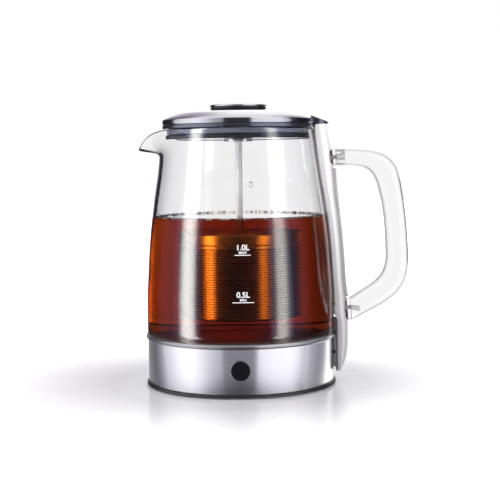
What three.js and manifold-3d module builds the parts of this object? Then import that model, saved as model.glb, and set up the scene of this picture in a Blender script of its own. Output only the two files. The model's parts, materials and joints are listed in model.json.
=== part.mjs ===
// A cordless glass tea kettle: a tapering glass jug on a steel collar with its heater below, a lift-off lid,
// a tea strainer on a lifting rod, and a clear handle on a spine down the back.
// Lengths are in millimetres and heights are above the table. The handle points to +X, the spout to -X.

import * as THREE from "three";
import { mergeVertices } from "three/addons/utils/BufferGeometryUtils.js";
import Module from "manifold-3d";

const wasm = await Module();
wasm.setup();

// Clearances, and how far a cutting shape runs past what it cuts
const fit = 0.3;
const looseFit = 0.5;
const overrun = 2;

// Facets round turned pieces, from the jug's own width down to screws
const wideSteps = 40;
const lidSteps = 32;
const middleSteps = 24;
const bushSteps = 16;
const smallSteps = 12;
const tubeHalfSides = 4;

// Glass jug: the outer wall, its rounded foot and the open throat at the bottom
const bodyRadius = 71.8;
const rimRadius = 57.6;
const rimTop = 194.4;
const glassWall = 2.6;
const footCorner = 9;
const floorCorner = 8;
const floorHeight = 36;
const throatDepth = 4;
const throatInset = 11;
// Where the facets of the two rounded corners stand, as shares of a quarter turn
const floorCornerShares = [0, 0.5, 1];
const footCornerShares = [1, 0.67, 0.33];

// How far up the wall, and how much of the narrowing from body to rim is reached there
const taperShares = [
  [0, 0],
  [0.16, 0.01],
  [0.28, 0.08],
  [0.4, 0.16],
  [0.52, 0.28],
  [0.64, 0.45],
  [0.79, 0.7],
  [0.9, 0.87],
  [1, 1],
];

// Spout: a lip pulled out of the rim, narrowing to a crease below
const spoutLength = 19.1;
const spoutTipDrop = 15.8;
const spoutFootDrop = 33.4;
const spoutSpread = THREE.MathUtils.degToRad(41);
const spoutFootSpread = THREE.MathUtils.degToRad(16);
const spoutTipSpread = THREE.MathUtils.degToRad(3);
// Along the middle of the spout: height share on the plain wall, share of the reach, share of the tip height
const spoutLineShares = [
  [0, 0, 0],
  [0.3, 0.08, 0.43],
  [0.55, 0.2, 0.745],
  [0.72, 0.42, 0.86],
  [0.86, 0.72, 0.92],
  [1, 1, 1],
];
// How much of the tip's drop reaches the sides of the spout
const spoutDropShare = 0.25;
// Where the wall's facets stand, as shares of the spout's spread
const spoutAngleShares = [0.05, 0.13, 0.24, 0.38, 0.56, 0.78, 1];
const plainWallSteps = 32;

// Steel collar round the foot of the glass, with a rolled bead at the top
const collarInset = 0.3;
const collarSheet = 0.8;
const collarOverlap = 7.2;
const beadRise = 1.5;
const beadHeight = 3.6;

// Black foot ring and the cover plate inside it
const footOverhang = 1.2;
const footHeight = 2.4;
const footChamfer = 0.8;
const restInset = 2.2;
const restWidth = 10.5;
const footLip = 1.7;
const coverLift = 2.5;
const coverSheet = 2.5;
const coverLap = 4;

// Cradle: the moulded ring inside the collar that carries the glass and the heater
const cradleWall = 2.2;
const cradleShelf = 24.2;
const cradleLipRise = 1;
const bossRadius = 4;
const bossHeight = 11;
const baseScrews = 3;

// Heater: steel floor plate, its seal, heat spreader and ring element
const sealWall = 1.9;
const sealFlange = 1.3;
const plateSheet = 1.2;
const flangeLap = 3.7;
const spreaderSheet = 3.1;
const spreaderInset = 6.3;
const elementInset = 10;
const elementTube = 3.4;
const elementGap = THREE.MathUtils.degToRad(28);
const elementPinRadius = 1.5;
const elementPinLength = 9;

// Control unit above the power socket
const controlRadius = 20;
const discRadius = 6.5;
const discSheet = 0.8;
const discSpacing = 19;
const probeRadius = 2;
const probeDepth = 5;
const probeOffset = 13;
const leadRadius = 1.3;
const leadDrop = 5.5;
const leadSpread = 5;
const leadBend = 6;

// Power socket, open from below
const socketRadius = 17.6;
const socketWall = 2;
const socketRoof = 1.5;
const socketTop = 17.5;
const socketFlange = 6;
const centreContactRadius = 2.5;
const centreContactLength = 10.5;
const ringContactSheet = 1.1;
const ringContactLength = 9;

// Screws: head radius, head height, shank radius
const screwHead = 3.2;
const screwHeadHeight = 1.8;
const screwShank = 1.6;
const baseScrewLength = 11;
const lidScrewLength = 6.5;
const backScrewBite = 5;
const handleScrewBite = 7;

// Badge on the collar
const badgeRadius = 7.1;
const badgeSheet = 1.2;
const badgeHeight = 20.6;

// Spine down the back, its backing strip, its bond to the glass and its cap
const spineRise = 3;
const spineFoot = 9.2;
const spineDepth = 11.2;
const spineHalfWidth = 12;
const spineEdge = 2;
const spineRoundness = 2.6;
const bondSheet = 0.8;
const bondHalfWidth = 9;
const bondLift = 4;
const backingSheet = 1.2;
const backingRise = 8.8;
const backingHalfWidth = 11;
const spineStepHeight = 2.6;
const capLap = 2.7;
const capRise = 9.5;
const capFall = 5;
const backScrewDrop = 17.2;
// Height share up the spine, and share of its depth behind the glass
const spineShares = [
  [0, 0.33],
  [0.01, 0.55],
  [0.028, 0.735],
  [0.055, 0.87],
  [0.09, 0.96],
  [0.13, 1],
  [0.18, 1],
  [0.28, 0.877],
  [0.365, 0.768],
  [0.53, 0.778],
  [0.69, 0.813],
  [0.895, 1.047],
  [1, 0.979],
];
// Places across the spine's outer face, and across the curved strips and faces behind it
const spineFaceShares = [-1, -0.93, -0.75, -0.5, -0.25, 0, 0.25, 0.5, 0.75, 0.93, 1];
const stripShares = [-1, -0.5, 0, 0.5, 1];

// Handle: a clear loop whose share 0 lies on the spine and share 1 at its furthest reach
const handleSpan = 57.3;
const handleTopDrop = 15.8;
const handleFootRise = 7.6;
const handleHalfDepth = 10.5;
const handleRoundness = 3;
const handleSides = 16;
const seatSheet = 1.8;
const seatDepth = 6;
// Outer reach, outer height, inner reach and inner height
const handleShares = [
  [0, 1, 0, 0.904],
  [0.205, 0.997, 0.19, 0.903],
  [0.4, 0.991, 0.36, 0.892],
  [0.59, 0.976, 0.46, 0.87],
  [0.725, 0.946, 0.52, 0.838],
  [0.825, 0.897, 0.56, 0.798],
  [0.882, 0.825, 0.585, 0.753],
  [0.925, 0.722, 0.61, 0.699],
  [0.963, 0.601, 0.636, 0.593],
  [0.987, 0.48, 0.646, 0.472],
  [1, 0.366, 0.646, 0.379],
  [0.987, 0.297, 0.628, 0.328],
  [0.934, 0.229, 0.583, 0.284],
  [0.824, 0.168, 0.502, 0.247],
  [0.655, 0.119, 0.371, 0.209],
  [0.416, 0.071, 0.208, 0.175],
  [0.185, 0.032, 0.09, 0.15],
  [0, 0, 0, 0.132],
];
const upperScrewShare = 0.952;
const lowerScrewShare = 0.073;

// Lid: dome, outer band, plug inside the neck, seal, rod bush
const lidOverhang = 0.4;
const lidBandHeight = 2.9;
const lidBandWall = 1.6;
const lidWebLap = 8;
const domeEdge = 3.3;
const domeRise = 7.2;
const domeSheet = 1;
const plugClearance = 1.4;
const plugWall = 3.6;
const plugDepth = 7.2;
const plugFloor = 1.8;
const sealHeight = 1.2;
const sealProud = 0.9;
const sealGrooveDepth = 2;
const sealGrooveHeight = 1.8;
const sealGrooveLift = 1.4;
const lidScrews = 3;
const lidBossInset = 6;
const lidBossRadius = 3.6;
const bushRadius = 6.9;
const bushFlange = 11.5;
const bushFlangeSheet = 2.1;
const bushNeck = 8.6;
const bushDrop = 2.2;
const bushNutRadius = 11;
const bushNutHeight = 1.9;
const gripHeight = 1.8;
const gripGrooveDepth = 2;
const gripLift = 10;
// Radius share of the lid and height share of the dome's rise
const domeShares = [
  [1, 0],
  [0.975, 0.14],
  [0.88, 0.46],
  [0.77, 0.74],
  [0.62, 0.91],
  [0.4, 0.98],
];

// Knob and rod
const rodRadius = 2.5;
const knobRadius = 21.7;
const knobLift = 4.6;
const knobCapSheet = 1.7;
const knobCrownInset = 3.3;
const knobBaseSheet = 2.2;
const knobBaseInset = 0.5;
const knobBevel = 1.1;
const knobDish = 0.3;
const rodSocketDepth = 1.6;
const rodShoulder = 5;
const rodShoulderSheet = 1.5;

// Strainer: a cap on the rod, and a perforated cup that turns in it
const strainerRadius = 36;
const strainerHeight = 63;
const strainerLift = 16;
const strainerCapHeight = 7.8;
const strainerSheet = 1.2;
const meshSheet = 0.7;
const rimSheet = 2.3;
const rimNeckHeight = 5;
const flowHoleRadius = 4;
const flowHoleCircle = 21;
const flowHoles = 6;
const nutRadius = 5.5;
const nutHeight = 2.7;
const nutSides = 6;
const slotRows = 5;
const slotColumns = 6;
const slotHeight = 1.6;
const slotWidth = 24;

// Heights and radii that follow from the sizes above: the glass and its spout
const glassFoot = floorHeight - throatDepth;
const shoulderHeight = glassFoot + footCorner;
const rimHeight = rimTop - glassWall / 2;
const throatRadius = bodyRadius - throatInset;
const spoutReach = rimRadius + spoutLength;
const spoutTipHeight = rimTop - spoutTipDrop;
const spoutFootHeight = rimTop - spoutFootDrop;

// The base
const collarRadius = bodyRadius - collarInset;
const collarFoot = footHeight + fit;
const collarTop = glassFoot + collarOverlap;
const footRadius = collarRadius + footOverhang;
const cradleRadius = collarRadius - collarSheet - looseFit;
const cradleInnerRadius = cradleRadius - cradleShelf;
const cradleLipHeight = glassFoot + cradleLipRise;
const bossCircle = cradleInnerRadius + bossRadius;
const coverRadius = footRadius - restInset - restWidth - 2 * fit;
const coverTop = coverLift + coverSheet;
const footTop = coverTop + fit + footLip;
const cradleFoot = footTop + fit;

// The heater and the control unit
const plateRadius = throatRadius - sealWall - 2 * fit;
const spreaderRadius = plateRadius - spreaderInset;
const elementRadius = spreaderRadius - elementInset;
const flangeRadius = throatRadius + flangeLap;
const sealFlangeTop = glassFoot - fit;
const plateFlangeTop = sealFlangeTop - sealFlange - fit;
const plateFlangeFoot = plateFlangeTop - plateSheet;
const shelfTop = plateFlangeFoot - fit;
const spreaderTop = floorHeight - plateSheet - fit;
const spreaderFoot = spreaderTop - spreaderSheet;
const elementHeight = spreaderFoot - fit - elementTube;
const controlTop = spreaderFoot - 2 * fit - discSheet;
const controlFoot = socketTop + fit;

// The spine, its fixings and the handle
const spineTop = rimTop + spineRise;
const spineReach = bodyRadius + spineDepth;
const backingTop = collarTop + backingRise;
const bondFoot = backingTop + bondLift;
const backScrewHeight = collarTop - backScrewDrop;
const capFront = rimRadius - capLap;
const capTop = rimTop + capRise;
const handleReach = bodyRadius + handleSpan;
const handleTop = rimTop - handleTopDrop;
const handleFoot = collarTop + handleFootRise;

// The lid
const lidRadius = rimRadius + lidOverhang;
const lidBandFoot = rimTop + fit;
const lidBandTop = lidBandFoot + lidBandHeight;
const domeFoot = lidBandTop + fit;
const domeShoulder = domeFoot + domeEdge;
const domeTop = domeShoulder + domeRise;
const lidWebTop = lidBandFoot + lidBandWall;
const plugRadius = rimRadius - glassWall - plugClearance;
const plugTop = lidBandFoot - fit;
const plugFoot = plugTop - plugDepth;
const plugFloorTop = plugFoot + plugFloor;
const sealRadius = plugRadius + sealProud;
const lidBossCircle = plugRadius - plugWall - lidBossInset;
const lidWebInner = lidBossCircle - lidWebLap;
const bushFoot = plugFoot - bushDrop;
const bushTop = domeTop + fit / 2;
const bushFlangeTop = domeTop - domeSheet - looseFit;

// The knob, the rod and the strainer
const knobTop = domeTop + knobLift;
const strainerFoot = floorHeight + strainerLift;
const strainerTop = strainerFoot + strainerHeight;
const knobCapFoot = knobTop - knobCapSheet;
const knobBaseTop = knobCapFoot - fit;
const knobBaseFoot = knobBaseTop - knobBaseSheet;
const rodTop = knobBaseFoot + rodSocketDepth - fit;
const capSkirtFoot = strainerTop - strainerCapHeight;
const shoulderFoot = strainerTop + fit;
const nutTop = strainerTop - strainerSheet - fit;
const rodEnd = nutTop - nutHeight - overrun;
const rimTopOfCup = capSkirtFoot - fit;
const meshTop = rimTopOfCup - rimSheet - fit;
const meshFoot = strainerFoot + strainerSheet + fit;
const capSideGap = looseFit + fit;

const finishes = {
  glass: { color: 0xdfe6e6, roughness: 0.05, metalness: 0, transparent: true, opacity: 0.35 },
  clearPlastic: { color: 0xe6eaea, roughness: 0.1, metalness: 0, transparent: true, opacity: 0.5 },
  brushedSteel: { color: 0xb4b4b6, roughness: 0.35, metalness: 1 },
  polishedSteel: { color: 0xc8c8ca, roughness: 0.12, metalness: 1 },
  darkSteel: { color: 0x4a4c58, roughness: 0.2, metalness: 0.8 },
  pearl: { color: 0xd8d4d2, roughness: 0.35, metalness: 0.3 },
  darkPlastic: { color: 0x3c3a40, roughness: 0.5, metalness: 0 },
  blackPlastic: { color: 0x17171a, roughness: 0.45, metalness: 0 },
  blackGloss: { color: 0x101014, roughness: 0.08, metalness: 0 },
  plugPlastic: { color: 0x7c7f90, roughness: 0.3, metalness: 0 },
  silicone: { color: 0x26262c, roughness: 0.7, metalness: 0 },
  paleSilicone: { color: 0xc9c9c4, roughness: 0.7, metalness: 0 },
  aluminium: { color: 0xc4c6c8, roughness: 0.4, metalness: 1 },
  brass: { color: 0xc2a14e, roughness: 0.3, metalness: 1 },
};

// Shared helpers: tables, solids and placing

// Reads a table of rows by their first number and gives the other columns, on straight lines between rows.
function readTable(table, at) {
  const last = table.length - 1;
  let row = 0;
  while (row < last - 1 && at > table[row + 1][0]) {
    row += 1;
  }
  const [low, ...from] = table[row];
  const [high, ...to] = table[row + 1];
  const share = THREE.MathUtils.clamp((at - low) / (high - low), 0, 1);
  return from.map((value, column) => THREE.MathUtils.lerp(value, to[column], share));
}

// Merges a geometry's shared vertices, drops collapsed triangles and makes its faces point out.
function toSolid(geometry) {
  const bare = geometry.clone();
  bare.deleteAttribute("normal");
  bare.deleteAttribute("uv");
  const merged = mergeVertices(bare);
  const places = merged.attributes.position.array;
  const corner = (index) => new THREE.Vector3().fromArray(places, 3 * index);
  const faces = [];
  let volume = 0;
  for (let i = 0; i < merged.index.count; i += 3) {
    const [a, b, c] = merged.index.array.slice(i, i + 3);
    if (a !== b && b !== c && c !== a) {
      faces.push([a, b, c]);
      volume += corner(a).dot(corner(b).cross(corner(c)));
    }
  }
  const outward = volume > 0 ? faces : faces.map(([a, b, c]) => [a, c, b]);
  const triVerts = new Uint32Array(outward.flat());
  return new wasm.Manifold(new wasm.Mesh({ numProp: 3, vertProperties: places, triVerts }));
}

function toGeometry(solid) {
  const mesh = solid.getMesh();
  const geometry = new THREE.BufferGeometry();
  geometry.setAttribute("position", new THREE.BufferAttribute(mesh.vertProperties, 3));
  geometry.setIndex(new THREE.BufferAttribute(mesh.triVerts, 1));
  return geometry;
}

// Joins shapes to a body, then takes the cutters away from it.
function shaped(body, { joined = [], cutters = [] } = {}) {
  let solid = toSolid(body);
  for (const shape of joined) {
    solid = solid.add(toSolid(shape));
  }
  for (const shape of cutters) {
    solid = solid.subtract(toSolid(shape));
  }
  return toGeometry(solid);
}

function common(first, second) {
  return toGeometry(toSolid(first).intersect(toSolid(second)));
}

// Turns a half section of radius and height pairs round the vertical axis. A section that doesn't start on
// the axis is closed on itself.
function turned(section, steps = lidSteps) {
  const points = section.map(([radius, height]) => new THREE.Vector2(radius, height));
  if (section[0][0] > 0) {
    points.push(points[0].clone());
  }
  return new THREE.LatheGeometry(points, steps).rotateX(Math.PI / 2);
}

// An upright round post between two heights.
function post(radius, foot, top, x = 0, y = 0, steps = smallSteps) {
  const height = top - foot;
  const geometry = new THREE.CylinderGeometry(radius, radius, height, steps).rotateX(Math.PI / 2);
  return geometry.translate(x, y, foot + height / 2);
}

// A round bar along X, between two distances from the jug's axis.
function bar(radius, near, far, height, steps = smallSteps) {
  const length = far - near;
  const geometry = new THREE.CylinderGeometry(radius, radius, length, steps).rotateZ(Math.PI / 2);
  return geometry.translate(near + length / 2, 0, height);
}

// Skins rings that hold as many points each. A closed skin runs back to the first ring, an open one has caps.
function skinned(rings, closed = false) {
  const count = rings[0].length;
  const points = rings.flat();
  const faces = [];
  const bands = closed ? rings.length : rings.length - 1;
  for (let ring = 0; ring < bands; ring += 1) {
    const here = ring * count;
    const next = ((ring + 1) % rings.length) * count;
    for (let side = 0; side < count; side += 1) {
      const beside = (side + 1) % count;
      faces.push(here + side, next + side, next + beside);
      faces.push(here + side, next + beside, here + beside);
    }
  }
  if (!closed) {
    addCap(points, faces, 0, count, false);
    addCap(points, faces, (rings.length - 1) * count, count, true);
  }
  const geometry = new THREE.BufferGeometry().setFromPoints(points);
  geometry.setIndex(faces);
  return geometry;
}

function addCap(points, faces, start, count, turnedOver) {
  const middle = new THREE.Vector3();
  for (let side = 0; side < count; side += 1) {
    middle.addScaledVector(points[start + side], 1 / count);
  }
  const centre = points.push(middle) - 1;
  for (let side = 0; side < count; side += 1) {
    const here = start + side;
    const beside = start + ((side + 1) % count);
    faces.push(centre, turnedOver ? beside : here, turnedOver ? here : beside);
  }
}

// A round tube along a smooth path, with a number of steps along it.
function tube(path, radius, steps) {
  const section = new THREE.Shape();
  section.absarc(0, 0, radius, 0, 2 * Math.PI);
  const options = { steps, extrudePath: path, bevelEnabled: false, curveSegments: tubeHalfSides };
  return new THREE.ExtrudeGeometry(section, options);
}

function around(count, make) {
  return Array.from({ length: count }, (_, index) => make((2 * Math.PI * index) / count, index));
}

// Glass jug

// The outer wall's radius at a height.
function glassRadius(height) {
  const share = (height - shoulderHeight) / (rimHeight - shoulderHeight);
  const [taper] = readTable(taperShares, share);
  return bodyRadius - (bodyRadius - rimRadius) * taper;
}

// How strongly the wall is pulled towards the spout's middle line, by angle from the spout.
function spoutPull(angle, riseShare) {
  const spread = THREE.MathUtils.lerp(spoutFootSpread, spoutSpread, riseShare);
  const away = Math.hypot(angle, spoutTipSpread) - spoutTipSpread;
  return Math.max(0, 1 - away / spread) ** 2;
}

// A point of the outer wall, by its height on the plain wall and its angle from the spout.
function outerPoint(height, angle) {
  const radius = glassRadius(height);
  const riseShare = THREE.MathUtils.clamp((height - spoutFootHeight) / (rimHeight - spoutFootHeight), 0, 1);
  const [reachShare, tipShare] = readTable(spoutLineShares, riseShare);
  const pull = riseShare > 0 ? spoutPull(angle, riseShare) : 0;
  const spoutRadius = radius + (spoutReach - glassWall / 2 - rimRadius) * reachShare;
  const spoutHeight = spoutFootHeight + (spoutTipHeight - spoutFootHeight) * tipShare;
  const drop = pull * THREE.MathUtils.lerp(pull ** 2, 1, spoutDropShare);
  const reach = THREE.MathUtils.lerp(radius, spoutRadius, pull);
  const lift = THREE.MathUtils.lerp(height, spoutHeight, drop);
  return new THREE.Vector3(-reach * Math.cos(angle), -reach * Math.sin(angle), lift);
}

// The wall's outward normal and its upward tangent, measured over a small step.
function wallFrame(height, angle) {
  const step = glassWall / 4;
  const turn = step / bodyRadius;
  const up = outerPoint(height, angle).sub(outerPoint(height - step, angle)).normalize();
  const along = outerPoint(height, angle + turn).sub(outerPoint(height, angle - turn)).normalize();
  return { up, out: along.clone().cross(up).normalize() };
}

function wallAngles() {
  const near = spoutAngleShares.map((share) => share * spoutSpread);
  const plain = 2 * (Math.PI - spoutSpread);
  const far = Array.from({ length: plainWallSteps - 1 }, (_, index) => {
    return spoutSpread + (plain * (index + 1)) / plainWallSteps;
  });
  const back = near.map((angle) => 2 * Math.PI - angle).reverse();
  return [0, ...near, ...far, ...back].map((angle) => (angle > Math.PI ? angle - 2 * Math.PI : angle));
}

function wallHeights() {
  const plain = taperShares.map(([share]) => THREE.MathUtils.lerp(shoulderHeight, rimHeight, share));
  const spout = spoutLineShares.map(([share]) => THREE.MathUtils.lerp(spoutFootHeight, rimHeight, share));
  return [...plain.filter((height) => height < spoutFootHeight), ...spout];
}

function plainRing(angles, radius, height) {
  return angles.map((angle) => {
    return new THREE.Vector3(-radius * Math.cos(angle), -radius * Math.sin(angle), height);
  });
}

function cornerRings(angles, centreRadius, centreHeight, corner, turnShares) {
  return turnShares.map((share) => {
    const turn = (share * Math.PI) / 2;
    const radius = centreRadius + corner * Math.cos(turn);
    return plainRing(angles, radius, centreHeight - corner * Math.sin(turn));
  });
}

function glassJug() {
  const angles = wallAngles();
  const heights = wallHeights();
  const half = glassWall / 2;
  const outer = heights.map((height) => angles.map((angle) => outerPoint(height, angle)));
  const lipTurns = [Math.PI / 3, (2 * Math.PI) / 3];
  const lip = lipTurns.map((turn) => {
    return angles.map((angle) => {
      const { up, out } = wallFrame(rimHeight, angle);
      const centre = outerPoint(rimHeight, angle).addScaledVector(out, -half);
      return centre.addScaledVector(out, half * Math.cos(turn)).addScaledVector(up, half * Math.sin(turn));
    });
  });
  const inner = heights.slice(1).reverse().map((height) => {
    return angles.map((angle) => {
      return outerPoint(height, angle).addScaledVector(wallFrame(height, angle).out, -glassWall);
    });
  });
  const floorCentre = bodyRadius - glassWall - floorCorner;
  const floor = cornerRings(angles, floorCentre, floorHeight + floorCorner, floorCorner, floorCornerShares);
  const throat = [plainRing(angles, throatRadius, floorHeight), plainRing(angles, throatRadius, glassFoot)];
  const footCentre = bodyRadius - footCorner;
  const foot = cornerRings(angles, footCentre, shoulderHeight, footCorner, footCornerShares);
  return skinned([...outer, ...lip, ...inner, ...floor, ...throat, ...foot], true);
}

// Base

function collar() {
  const inner = collarRadius - collarSheet;
  const beadFoot = collarTop - beadHeight;
  const beadMiddle = collarTop - beadHeight / 2;
  const section = [
    [inner, collarFoot],
    [collarRadius, collarFoot],
    [collarRadius, beadFoot],
    [collarRadius + beadRise, beadMiddle],
    [collarRadius + beadRise / 2, collarTop],
    [collarRadius + collarSheet / 2, collarTop],
    [inner + collarSheet, beadMiddle],
    [inner, beadFoot],
  ];
  const hole = bar(screwShank + fit, inner - overrun, collarRadius + overrun, backScrewHeight);
  return shaped(turned(section, wideSteps), { cutters: [hole] });
}

function footRing() {
  const restOuter = footRadius - restInset;
  const restInner = restOuter - restWidth;
  return turned([
    [restInner, 0],
    [restOuter, 0],
    [footRadius, footChamfer],
    [footRadius, footHeight],
    [cradleRadius, footHeight],
    [cradleRadius, footTop],
    [restInner - coverLap, footTop],
    [restInner - coverLap, coverTop + fit],
    [restInner, coverTop + fit],
  ], wideSteps);
}

function baseCover() {
  const hole = socketRadius + looseFit;
  const plate = turned([
    [hole, coverLift],
    [coverRadius, coverLift],
    [coverRadius, coverTop],
    [hole, coverTop],
  ]);
  const holes = around(baseScrews, (angle) => {
    const [x, y] = [bossCircle * Math.cos(angle), bossCircle * Math.sin(angle)];
    return post(screwShank + fit, coverLift - overrun, coverTop + overrun, x, y);
  });
  return shaped(plate, { cutters: holes });
}

function cradle() {
  const inner = cradleRadius - cradleWall;
  const lipInner = flangeRadius + fit;
  const lipTop = sealFlangeTop + fit / 2;
  const section = [
    [cradleInnerRadius, cradleFoot],
    [cradleRadius, cradleFoot],
    [cradleRadius, cradleLipHeight],
    [inner + fit, cradleLipHeight],
    [lipInner + cradleWall / 2, lipTop],
    [lipInner, lipTop],
    [lipInner, shelfTop],
    [throatRadius, shelfTop],
    [throatRadius, shelfTop - cradleWall],
    [inner, shelfTop - cradleWall],
    [inner, cradleFoot + cradleWall],
    [cradleInnerRadius, cradleFoot + cradleWall],
  ];
  const bossFoot = coverTop + fit;
  const bossTop = bossFoot + bossHeight;
  const at = (angle) => [bossCircle * Math.cos(angle), bossCircle * Math.sin(angle)];
  const bosses = around(baseScrews, (angle) => post(bossRadius, bossFoot, bossTop, ...at(angle)));
  const holes = around(baseScrews, (angle) => {
    return post(screwShank + fit, bossFoot - overrun, bossTop - cradleWall / 2, ...at(angle));
  });
  const backHole = bar(screwShank + fit, inner - overrun, cradleRadius + overrun, backScrewHeight);
  return shaped(turned(section, lidSteps), { joined: bosses, cutters: [...holes, backHole] });
}

// Heater

function floorPlate() {
  const inner = plateRadius - plateSheet;
  return turned([
    [0, floorHeight],
    [plateRadius, floorHeight],
    [plateRadius, plateFlangeTop],
    [flangeRadius, plateFlangeTop],
    [flangeRadius, plateFlangeFoot],
    [inner, plateFlangeFoot],
    [inner, floorHeight - plateSheet],
    [0, floorHeight - plateSheet],
  ]);
}

function floorSeal() {
  const inner = plateRadius + fit;
  return turned([
    [inner, floorHeight],
    [inner + sealWall, floorHeight],
    [inner + sealWall, sealFlangeTop],
    [flangeRadius, sealFlangeTop],
    [flangeRadius, sealFlangeTop - sealFlange],
    [inner, sealFlangeTop - sealFlange],
  ]);
}

function heatSpreader() {
  return post(spreaderRadius, spreaderFoot, spreaderTop, 0, 0, wideSteps);
}

function elementRing() {
  const path = new THREE.Curve();
  path.getPoint = (share) => {
    const angle = THREE.MathUtils.lerp(elementGap, 2 * Math.PI - elementGap, share);
    return new THREE.Vector3(elementRadius * Math.cos(angle), elementRadius * Math.sin(angle), elementHeight);
  };
  return tube(path, elementTube, middleSteps);
}

// Where an element end's pin starts, and the way it points. Side is 1 or -1.
function pinLine(side) {
  const along = new THREE.Vector3(Math.sin(elementGap), -side * Math.cos(elementGap), 0);
  const start = new THREE.Vector3(
    elementRadius * Math.cos(elementGap),
    side * elementRadius * Math.sin(elementGap),
    elementHeight,
  );
  return { along, start: start.addScaledVector(along, fit) };
}

function elementPin(side) {
  const { along, start } = pinLine(side);
  const end = start.clone().addScaledVector(along, elementPinLength);
  return tube(new THREE.LineCurve3(start, end), elementPinRadius, 1);
}

// A lead from an element pin to the side of the control unit.
function lead(side) {
  const { along, start } = pinLine(side);
  const from = start.clone().addScaledVector(along, elementPinLength + fit);
  const foot = elementHeight - leadDrop;
  const wallReach = Math.sqrt(controlRadius ** 2 - (leadSpread - leadRadius) ** 2) + fit;
  const end = new THREE.Vector3(wallReach, side * leadSpread, foot);
  const route = [
    from,
    from.clone().addScaledVector(along, leadBend / 3),
    new THREE.Vector3(from.x - leadBend, side * leadSpread, (elementHeight + foot) / 2),
    end.clone().setX(end.x + leadBend),
    end,
  ];
  return tube(new THREE.CatmullRomCurve3(route), leadRadius, smallSteps);
}

// Control unit and power socket

function controlBody() {
  const hole = post(probeRadius + fit, controlTop - probeDepth, controlTop + overrun, 0, probeOffset);
  const body = post(controlRadius, controlFoot, controlTop, 0, 0, middleSteps);
  return shaped(body, { cutters: [hole] });
}

function bimetalDisc() {
  return post(discRadius, 0, discSheet, 0, 0, bushSteps);
}

function sensorProbe() {
  return post(probeRadius, controlTop - probeDepth + fit, spreaderFoot - fit, 0, probeOffset);
}

function socketHousing() {
  const inner = socketRadius - socketWall;
  const flangeFoot = coverTop + fit;
  return turned(
    [
      [0, socketTop],
      [socketRadius, socketTop],
      [socketRadius, flangeFoot + footLip],
      [socketRadius + socketFlange, flangeFoot + footLip],
      [socketRadius + socketFlange, flangeFoot],
      [socketRadius, flangeFoot],
      [socketRadius, coverLift],
      [inner, coverLift],
      [inner, socketTop - socketRoof],
      [0, socketTop - socketRoof],
    ],
    middleSteps,
  );
}

function centreContact() {
  const top = socketTop - socketRoof - fit;
  return post(centreContactRadius, top - centreContactLength, top);
}

function ringContact() {
  const outer = socketRadius - socketWall - fit;
  const top = socketTop - socketRoof - fit;
  return turned(
    [
      [outer - ringContactSheet, top - ringContactLength],
      [outer, top - ringContactLength],
      [outer, top],
      [outer - ringContactSheet, top],
    ],
    middleSteps,
  );
}

// A screw that points up from the underside of its head, at height zero.
function screw(length) {
  return turned(
    [
      [0, -screwHeadHeight],
      [screwHead, -screwHeadHeight],
      [screwHead, 0],
      [screwShank, 0],
      [screwShank, length],
      [0, length],
    ],
    smallSteps,
  );
}

function badge() {
  const geometry = new THREE.CylinderGeometry(badgeRadius, badgeRadius, badgeSheet, middleSteps);
  return geometry.translate(0, -(collarRadius + fit + badgeSheet / 2), 0);
}

// Spine, backing, bond and cap

// The spine's outer radius at a height.
function spineOuter(height) {
  const share = (height - spineFoot) / (spineTop - spineFoot);
  return glassRadius(height) + spineDepth * readTable(spineShares, share)[0];
}

// The spine's inner radius at a height: over the backing strip low down, over the bond above it.
function spineInner(height) {
  if (height <= backingTop + fit) {
    return collarRadius + beadRise + backingSheet + 2 * fit;
  }
  return glassRadius(height) + bondSheet + 2 * fit;
}

function arcPoint(radius, across, height) {
  return new THREE.Vector3(Math.sqrt(radius ** 2 - across ** 2), across, height);
}

// The outer face of one level of the spine, grown outwards where another piece needs room for it.
function spineFace(height, growth) {
  const inner = spineInner(height);
  const thickness = spineOuter(height) - inner;
  return spineFaceShares.map((share) => {
    const rise = (1 - Math.abs(share) ** spineRoundness) ** (1 / spineRoundness);
    const point = arcPoint(inner, share * (spineHalfWidth + growth), height);
    return point.setX(point.x + spineEdge + growth + (thickness - spineEdge) * rise);
  });
}

function spineRing(height, growth) {
  const inner = spineInner(height);
  const back = stripShares.map((share) => arcPoint(inner, -share * (spineHalfWidth + growth), height));
  return [...spineFace(height, growth), ...back];
}

function spineHeights() {
  const heights = spineShares.map(([share]) => THREE.MathUtils.lerp(spineFoot, spineTop, share));
  const step = [backingTop + fit, backingTop + fit + spineStepHeight];
  return [...heights, ...step].sort((a, b) => a - b);
}

function spineBlank(growth = 0) {
  return skinned(spineHeights().map((height) => spineRing(height, growth)));
}

function handleScrewHeights() {
  const shares = [upperScrewShare, lowerScrewShare];
  return shares.map((share) => THREE.MathUtils.lerp(handleFoot, handleTop, share));
}

function spineCover() {
  const cutters = handleScrewHeights().flatMap((height) => {
    const inner = spineInner(height);
    const recess = inner + 2 * fit + screwHeadHeight;
    return [
      bar(screwShank + fit, inner - overrun, spineReach + overrun, height),
      bar(screwHead + fit, inner - overrun, recess, height),
    ];
  });
  const backHoleEnd = spineInner(backScrewHeight) + backScrewBite + fit;
  cutters.push(bar(screwShank + fit, spineInner(backScrewHeight) - overrun, backHoleEnd, backScrewHeight));
  return shaped(spineBlank(), { cutters });
}

// A thin curved strip between two radii, given for each height.
function strip(heights, halfWidth, innerAt, sheet) {
  const rings = heights.map((height) => {
    const inner = innerAt(height);
    const front = stripShares.map((share) => arcPoint(inner, share * halfWidth, height));
    const back = stripShares.map((share) => arcPoint(inner + sheet, -share * halfWidth, height));
    return [...front, ...back];
  });
  return skinned(rings);
}

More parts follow.
